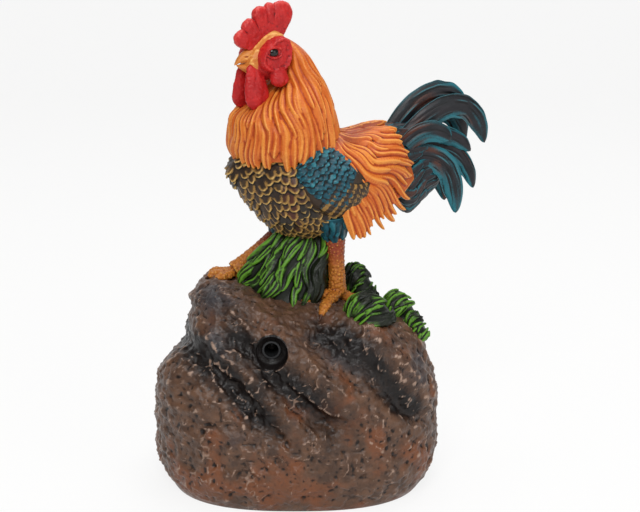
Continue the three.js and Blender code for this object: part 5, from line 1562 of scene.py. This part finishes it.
def feather(curve, width, number):
    """A blade with a raised quill, strokes along it and ragged edges, brushed with teal along its rims."""
    share = np.linspace(0, 1, feather_steps)[:, None]
    side = np.linspace(-1, 1, feather_columns)[None, :]
    points = curve(share[:, 0])
    forward = unit(np.gradient(points, axis=0))
    across = unit(np.cross(forward, np.array([0.0, 1.0, 0.0])))
    face = np.cross(across, forward)
    length = np.sum(np.linalg.norm(np.diff(points, axis=0), axis=-1))
    half = width / 2 * feather_leaf(share) * np.maximum(feather_tip, blunt(1 - share, feather_round))
    spot = at(share * length, side * half, feather_gap * number)

    def streaks(strength, size, seed, along):
        return strength * rough(spot, size, seed, stretch=(along, 1, 1))

    body = np.maximum(blade_edge, 1 - np.abs(side) ** blade_power)
    quill = quill_height * bell(side, 0, quill_width) * (1 - share)
    strokes = streaks(strength=0.5, size=2, seed=123, along=0.09) * smooth(*stroke_span, np.abs(side))
    ends = np.maximum(thin_tip, blunt(1 - share, thin_span))
    rise = feather_thickness / 2 * body * ends + quill + strokes
    edges = at(share * length, fray_sides * np.sign(side), feather_gap * number)
    ragged = 1 + fray * lumps(edges, fray_size, 127) * smooth(*fray_span, share)
    wide = (half * ragged * side)[..., None] * across[:, None]
    top, under = (points[:, None] + wide + way * face[:, None] * rise[..., None] for way in (1, -1))
    brushed = np.maximum(smooth(*rim_sides, side), rim_share * smooth(*both_rims, np.abs(side)))
    teal = teal_strength * brushed * mix(teal_root, 1, smooth(*teal_span, share))
    teal = teal + streaks(strength=0.5, size=3, seed=121, along=0.12)
    rust = rust_share + streaks(strength=0.9, size=4, seed=125, along=0.2)
    return slab(top, under, rim=teal, tint=rust)


for number, (root, bend, tip, width) in enumerate(sickles, 1):
    curve = bezier(*(tail_place(shares) for shares in (root, bend, tip)))
    shells = [feather(curve, width * feather_width, number)]
    casting(f"tail_feather_{number}", shells, "tail_paint", on_bird, reach=10, depth=0.16)

fluff_line = bezier(
    (tail_root + 12, 0, torso_middle - 4),
    (tail_root - 4, 0, torso_middle + 6),
    (tail_root - tail_length / 2, 0, torso_middle + 8),
)
fluff_inside = (tail_root - 6, 0, torso_middle + 4)
fluff_radius, fluff_taper, fluff_flat = 13, 0.4, (1.95, 2.6)
fluff_tip, fluff_root, fluff_round = 0.05, 0.4, 0.2  # least sizes at both ends, share that rounds off
fluff_rows, fluff_sides = 40, 60
fluff_layers = ((0.02, 18, 2.6), (0.2, 20, 2.6), (0.38, 20, 2.6), (0.55, 18, 2.6))
fluff_lie = {"slip": 0.05, "limit": 1, "swing": 0.25, "girth": fluff_radius, "long": 50, "wave": (9, 16)}
fluff_form = {"seed": 11, "tall": 1.3, "lift": (-0.6, 1.4), "furrows": 3}


def fluff_size(t):
    ends = np.maximum(fluff_tip, blunt(1 - t, fluff_round)), np.maximum(fluff_root, blunt(t, fluff_round))
    return fluff_radius * mix(1, fluff_taper, t) * ends[0] * ends[1]


fluff = limb_surface(fluff_line, fluff_size, lambda t: mix(*fluff_flat, t))


shells = [wrapped(fluff, np.linspace(0, 1, fluff_rows), fluff_sides)]
shells += down_locks(fluff, fluff_inside, fluff_layers, draws("fluff"), **fluff_lie, **fluff_form)
casting("tail_core", shells, "tail_paint", on_bird, voxel=fine_skin)

# Legs: feathered thighs, scaled shanks, and toes with claws that grip the rock

stand_height = 57.5
stride = 46
front_foot = 34
half_stance = 13
hip_angle, hip_depth = 130 * DEGREE, -6.0
shank_radius, shank_steps, shank_sides = 3.9, 90, 40
shank_root, shank_waist, shank_flare = 1.15, 0.2, 0.2
shank_reach, heel_rise = 0.12, 0.9  # into the thigh as a share of it, and over the rock in radii
toe_length, toe_radius, toe_slim = 24, 3, 0.92
toe_bearings = (-40 * DEGREE, 0.0, 33 * DEGREE, math.pi)
hind_toe = 0.65  # length as a share
toe_points, toe_steps, toe_sides, toe_flat = 5, 72, 28, 0.85
toe_rise, toe_taper = (0.8, 0.1), (1.15, 0.72)
toe_along = 0.3  # the part of the shank whose colour the toes have
claw_span, claw_slim, claw_tip, claw_round = (0.82, 0.9), 0.62, 0.06, 0.3
knuckle_swell, knuckle_count = 0.08, 3
scute_height, scute_length = 0.14, 1.7
scale_bead, scale_bed = 0.6, 0.2
thigh_radius, thigh_end, thigh_power, thigh_sink = 10.5, 1.35, 0.8, 0.5
thigh_least, thigh_round, thigh_flat = 0.45, 0.06, (1.3, 1)
thigh_skirt = np.array([2.5, 0, 0])  # that the hip end stands forward
thigh_rows, thigh_sides = 30, 48
thigh_layers = ((0.1, 15, 1.9), (0.3, 14, 1.8), (0.5, 13, 1.6), (0.62, 12, 1.4))
thigh_lie = {"slip": 0.04, "limit": 1.08, "swing": 0.16, "girth": thigh_radius, "long": 30, "wave": (9, 12)}
thigh_form = {"seed": 13, "tall": 1.1, "lift": (-0.6, 0.5)}
# Foot and hip along the bird, the hock as shares of stride and height, sizes of thigh and toes, foot's turn
strides = {
    "left": (front_foot - stride, 0.56, (0.04, 0.487), 1.0, 1.0, 14 * DEGREE),
    "right": (front_foot, 0.4, (-0.54, 0.26), 0.8, 0.65, 0.0),
}


def rock_under(x, y):
    place = turned(at(x, y, 0.0), bird_turn, bird_place)
    return rock_top(place[..., 0], place[..., 1])


def straight(first, last):
    return lambda t: first + (last - first) * np.asarray(t)[..., None]


def through_points(points):
    """A smooth curve through points."""
    reads = [stations(axis) for axis in np.array(points).T]
    return lambda t: np.stack([read(np.asarray(t)) for read in reads], axis=-1)


def limb(curve, sizes, flat, sides, **marks):
    """A limb about a curve, with a ring at each of the sizes."""
    t = np.linspace(0, 1, len(sizes))
    surface = limb_surface(curve, lambda s: np.interp(s, t, sizes), lambda s: np.full_like(s, flat))
    return wrapped(surface, t, sides, **marks)


def toe(heel, bearing, length, radius):
    share = np.linspace(0, 1, toe_points)
    x = heel[0] + np.cos(bearing) * length * share
    y = heel[1] + np.sin(bearing) * length * share
    path = at(x, y, rock_under(x, y) + radius * mix(*toe_rise, share))
    path[0] = heel
    t = np.linspace(0, 1, toe_steps)
    claw = smooth(*claw_span, t)
    knuckle = 1 + knuckle_swell * np.cos(TURN * knuckle_count * t) * (1 - claw)
    size = radius * mix(*toe_taper, t) * knuckle * mix(1, claw_slim, claw)
    size = size * np.maximum(claw_tip, blunt(1 - t, claw_round))
    scute = scute_height * (1 - ((t * length / scute_length) % 1.0) * 2) * (1 - claw)
    marks = {"rim": claw[:, None], "along": toe_along}
    return limb(through_points(path), size + scute, toe_flat, toe_sides, **marks)


def leg(side, foot, hip, hock, toes, turn):
    """Shells of the shank and its toes, and the knee and hip between which the thigh lies."""
    across = side * half_stance
    ground = float(rock_under(np.array([foot]), np.array([across]))[0])
    heel = np.array([foot, across, ground + shank_radius * heel_rise])
    knee = np.array([foot + hock[0] * stride, across, heel[2] + hock[1] * stand_height])
    socket = torso(np.array(hip), np.array(side * hip_angle), hip_depth)
    t = np.linspace(0, 1, shank_steps)
    size = shank_radius * (shank_root - shank_waist * np.sin(math.pi * t) + shank_flare * t)
    shank = straight(heel, knee + (socket - knee) * shank_reach)
    shells = [limb(shank, size, 1.0, shank_sides, along=t[:, None])]
    radius = toe_radius * (1 if toes == 1 else toe_slim)
    for bearing in toe_bearings:
        length = toe_length * toes * (hind_toe if bearing == math.pi else 1)
        shells.append(toe(heel, bearing + side * turn, length, radius))
    return shells, knee, socket


def shank_scales(points, marks):
    """Rows of small round scales on the shank; the claws stay smooth."""
    rounds = beads(points, size=1.5, seed=131, width=0.8)
    return scale_bead * rounds * (1 - np.clip(marks["rim"], 0, 1)) - scale_bed


def thigh_shells(thigh, knee, socket, rng):
    def radius(t):
        taper = mix(thigh_radius * thigh, shank_radius * thigh_end, t**thigh_power)
        return taper * np.maximum(thigh_least, blunt(1 - t, thigh_round)) - thigh_sink

    surface = limb_surface(straight(socket + thigh_skirt, knee), radius, lambda t: mix(*thigh_flat, t))
    shells = [wrapped(surface, np.linspace(0, 1, thigh_rows), thigh_sides)]
    middle = (socket + knee) / 2
    return shells + down_locks(surface, middle, thigh_layers, rng, **thigh_lie, **thigh_form)


for name, (foot, hip, hock, thigh, toes, turn) in strides.items():
    side = SIDES[name]
    shells, knee, socket = leg(side, foot, hip, hock, toes, turn)
    scaly = {"texture": shank_scales, "reach": 8, "depth": 0.22}
    casting("leg_" + name, shells, "shank_paint", on_bird, voxel=finest_skin, **scaly)
    shells = thigh_shells(thigh, knee, socket, draws("thigh", side))
    casting("thigh_" + name, shells, "wing_paint", on_bird, voxel=finer_skin)

# Grass: flame-like locks, in a sheaf that props the belly and in low clumps beside the feet

grass_root = 3
grass_comb = 0.3
grass_start, grass_rows, grass_sides = 0.01, 30, 64
blade_stray, blade_slip, blade_limits = 0.35, 0.05, (0.02, 1.04)
blade_wave, blade_bend, blade_grow = (8, 9), 0.25, (0.7, 1.3)
blade_height, blade_root, blade_lift = (0.8, 0.7), -0.8, (0.4, 2.2)
# painted shade on the grass blades: how much darker along their paths and towards the right, and where it
# starts
shade_drop, shade_lean, shade_start = 1.1, 0.03, 0.4
sheaf_foot, sheaf_crown = (-5.68, 0.0), (3.55, 4.06)  # where its foot and its top stand on the rock
sheaf_half = (21.5, 16.0)
sheaf_top = torso_middle - torso_depth / 2 + 4
sheaf_neck = 0.46  # width of the top as a share of the foot's
sheaf_belly = 0.12
sheaf_twist = 0.5
sheaf_flutes, flute_depth, flute_span = 6, 0.13, (0, 0.2)
sheaf_way = (16, 34, 4.0)  # girth, drop and swing of the blades, mm
clump_lean = 3
clump_start = (-0.8, -0.45, -0.35)  # the way from which the blades are combed
clump_limits, clump_floor = (0.001, 0.999), 0.4
clump_swing = 2.2
# Start and length of each layer as shares of the drop, number of blades, and half their width in mm
sheaf_layers = (
    (0.0, 0.36, 12, 1.7),
    (0.1, 0.36, 14, 1.8),
    (0.22, 0.38, 15, 1.9),
    (0.34, 0.38, 16, 2.0),
    (0.46, 0.38, 17, 2.0),
    (0.58, 0.38, 18, 2.0),
    (0.68, 0.34, 18, 1.9),
)
clump_layers = (
    (0.08, 0.36, 18, 0.95),
    (0.24, 0.36, 20, 1.05),
    (0.38, 0.36, 20, 1.05),
    (0.52, 0.38, 18, 1.0),
)
# Place on the rock, half sizes and height of each clump
clumps = {
    "grass_back": ((32.66, 16.82), (7.6, 7.0), 16),
    "grass_front": ((36.21, -19.14), (12, 8), 11),
    "grass_side": ((52.54, 1.74), (8.5, 8), 10),
    "grass_edge": ((61.06, -5.8), (5, 5.5), 9),
}


def sheaf(t, angle):
    """A point under the sheaf's blades: t from the belly down to the rock."""
    up = 1 - t
    swell = mix(1, sheaf_neck, up) + sheaf_belly * np.sin(math.pi * up)
    swell = swell * (1 + flute_depth * np.cos(angle * sheaf_flutes) * smooth(*flute_span, up))
    lean = angle + sheaf_twist * up
    x = mix(sheaf_foot[0], sheaf_crown[0], up) + sheaf_half[0] * swell * np.cos(lean)
    y = mix(sheaf_foot[1], sheaf_crown[1], up) + sheaf_half[1] * swell * np.sin(lean)
    return at(x, y, mix(rock_top(x, y) - grass_root, sheaf_top, up))


def clump(place, half, foot, height):
    """A round tuft whose blades are combed over it from one side to the other."""
    start = unit(np.array(clump_start))
    side = unit(np.cross(start, np.array([0.0, 0.0, 1.0])))
    over = np.cross(side, start)
    size = np.array([half[0], half[1], grass_root + height])

    def surface(t, angle):
        turn = math.pi * np.clip(t, *clump_limits)
        way = np.cos(turn)[..., None] * start
        way = way + (np.sin(turn) * np.cos(angle))[..., None] * over
        way = way + (np.sin(turn) * np.sin(angle))[..., None] * side
        points = size * way
        points[..., 2] = np.maximum(points[..., 2], clump_floor)
        lean = clump_lean * np.clip(points[..., 2] / size[2], 0, 1)
        return points + at(place[0] - lean, place[1], foot)

    return surface


def grass_shells(surface, inside, layers, girth, drop, swing, rng):
    """Blades in layers: they share their swing, and all are combed over to the same side."""
    # the core between the blades is painted dark all over, as painted shade
    shells = [wrapped(surface, np.linspace(grass_start, 1, grass_rows), grass_sides, fade=1.0)]
    for start, length, count, half in layers:
        around = strewn(rng, count, blade_stray)
        column = around.shape
        t = start + rng.uniform(-blade_slip, blade_slip, column) + length * lock_share
        t = np.clip(t, *blade_limits)
        bend = swing * flow(around * girth, t * drop, *blade_wave, seed=15) / girth
        bend = bend + grass_comb * t * np.sin(around)
        angle = around + (bend + rng.uniform(-blade_bend, blade_bend, column) * lock_share)
        grow = rng.uniform(*blade_grow, column) * lock_outline(lock_share)
        spot = surface(t, angle)
        shade = rough(spot, size=11, seed=141) + shade_drop * t
        shade = shade + shade_lean * (spot[..., 0] - inside[0]) - shade_start
        lift = mix(blade_root, rng.uniform(*blade_lift, column), lock_share)
        size = (half, blade_height[0] + blade_height[1] * half, grow, lift)
        shells.append(locks(surface, inside, t, angle, *size, rng, furrows=3, fade=shade))
    return shells


def rock_at(place):
    return float(rock_top(np.array([place[0]]), np.array([place[1]]))[0])


sheaf_middle = (0.0, 2.0, (rock_at(sheaf_foot) + sheaf_top) / 2)
shells = grass_shells(sheaf, sheaf_middle, sheaf_layers, *sheaf_way, draws("sheaf"))
casting("grass_centre", shells, "grass_paint", on_rock, voxel=fine_skin)
for number, (name, (place, half, height)) in enumerate(clumps.items()):
    foot = rock_at(place) - grass_root
    form = clump(place, half, foot, height)
    way = (half[0], height, clump_swing)
    shells = grass_shells(form, (*place, foot), clump_layers, *way, draws("clump", number))
    casting(name, shells, "grass_paint", on_rock, voxel=finer_skin)

# Carried-over solids of the sound module: their shapes stay, their finishes are better ones

module_finishes = {
    black_abs: ("sensor_tube", "base_plate", "battery_door", "sound_chip", "switch_knob"),
    eye_enamel: ("photo_sensor",),
    cell_film: ("cell_1", "cell_2"),
    nickel_plate: ("contact_bridge", "contact_positive", "contact_negative", "switch_case"),
    zinc_plate: (
        "speaker_basket",
        "speaker_magnet",
        "leg_rod_left",
        "leg_rod_right",
        "plate_screw_1",
        "plate_screw_2",
        "plate_screw_3",
        "plate_screw_4",
    ),
    solder_mask: ("circuit_board",),
    cone_pulp: ("speaker_cone",),
    lead_pvc: ("sensor_lead", "speaker_lead"),
}
for material, nodes in module_finishes.items():
    for node in nodes:
        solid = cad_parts[node]
        solid.data.materials.clear()
        solid.data.materials.append(material)

# Studio: a pale sweep that runs up behind the object, three soft lamps and an even white surround

sweep_half, sweep_front, sweep_depth, sweep_bend, sweep_height = 2.5, -2.5, 1.2, 0.6, 2.0  # in metres
sweep_steps = 16
glow_most = 0.85  # share of the paper that shines by itself where it is looked at
surround_strength = 0.24
# Place and size of each lamp in metres, and its power in watts
lamps = {
    "key_softbox": ((-0.15, -1.2, 1.22), 0.7, 14),
    "fill_softbox": ((1.0, -0.9, 0.6), 0.9, 4),
    "top_softbox": ((0.1, 0.25, 1.3), 0.8, 8),
}


def sweep():
    """A floor that turns up into a backdrop in one curve."""
    line = [(sweep_front, 0.0)]
    for angle in np.linspace(0, math.pi / 2, sweep_steps):
        line.append((sweep_depth + sweep_bend * math.sin(angle), sweep_bend * (1 - math.cos(angle))))
    line.append((sweep_depth + sweep_bend, sweep_height))
    points = [(x, y, z) for y, z in line for x in (-sweep_half, sweep_half)]
    faces = [(2 * i, 2 * i + 1, 2 * i + 3, 2 * i + 2) for i in range(len(line) - 1)]
    mesh = bpy.data.meshes.new("sweep")
    mesh.from_pydata(points, [], faces)
    mesh.shade_smooth()
    mesh.materials.append(paper_sweep())
    shape = bpy.data.objects.new("sweep", mesh)
    scene.collection.objects.link(shape)


def paper_sweep():
    """White background paper: matt, lit up to white for the eye where no shadow falls, clear from below."""
    material = bpy.data.materials.new("paper_sweep")
    material.use_nodes = True
    tree = material.node_tree
    tree.nodes.clear()
    seen = add(tree, "ShaderNodeLightPath")
    looked_at = seen.outputs["Is Camera Ray"]
    for way in ("Is Glossy Ray", "Is Transmission Ray"):
        ways = {0: looked_at, 1: seen.outputs[way]}
        looked_at = add(tree, "ShaderNodeMath", ways, operation="MAXIMUM").outputs[0]
    glow_share = add(tree, "ShaderNodeMapRange", {"Value": looked_at, "To Max": glow_most}).outputs["Result"]
    paper = add(tree, "ShaderNodeBsdfDiffuse", {"Color": linear("#f4f4f2")}).outputs[0]
    glow = add(tree, "ShaderNodeEmission", {"Color": linear("#ffffff"), "Strength": 1.0}).outputs[0]
    both = add(tree, "ShaderNodeMixShader", {0: glow_share, 1: paper, 2: glow}).outputs[0]
    from_below = add(tree, "ShaderNodeNewGeometry").outputs["Backfacing"]
    clear = add(tree, "ShaderNodeBsdfTransparent").outputs[0]
    one_sided = add(tree, "ShaderNodeMixShader", {0: from_below, 1: both, 2: clear}).outputs[0]
    add(tree, "ShaderNodeOutputMaterial", {"Surface": one_sided})
    return material


def lamp(name, place, size, power):
    data = bpy.data.lights.new(name, "AREA")
    data.energy = power
    data.size = size
    shape = bpy.data.objects.new(name, data)
    scene.collection.objects.link(shape)
    shape.location = place
    aim = camera_aim - Vector(place)
    shape.rotation_mode = "QUATERNION"
    shape.rotation_quaternion = aim.to_track_quat("-Z", "Y")


sweep()
for name, settings in lamps.items():
    lamp(name, *settings)
world = bpy.data.worlds.new("studio_surround")
world.use_nodes = True
world.node_tree.nodes.clear()
white = {"Color": linear("#ffffff"), "Strength": surround_strength}
surround = add(world.node_tree, "ShaderNodeBackground", white)
add(world.node_tree, "ShaderNodeOutputWorld", {"Surface": surround.outputs[0]})
scene.world = world
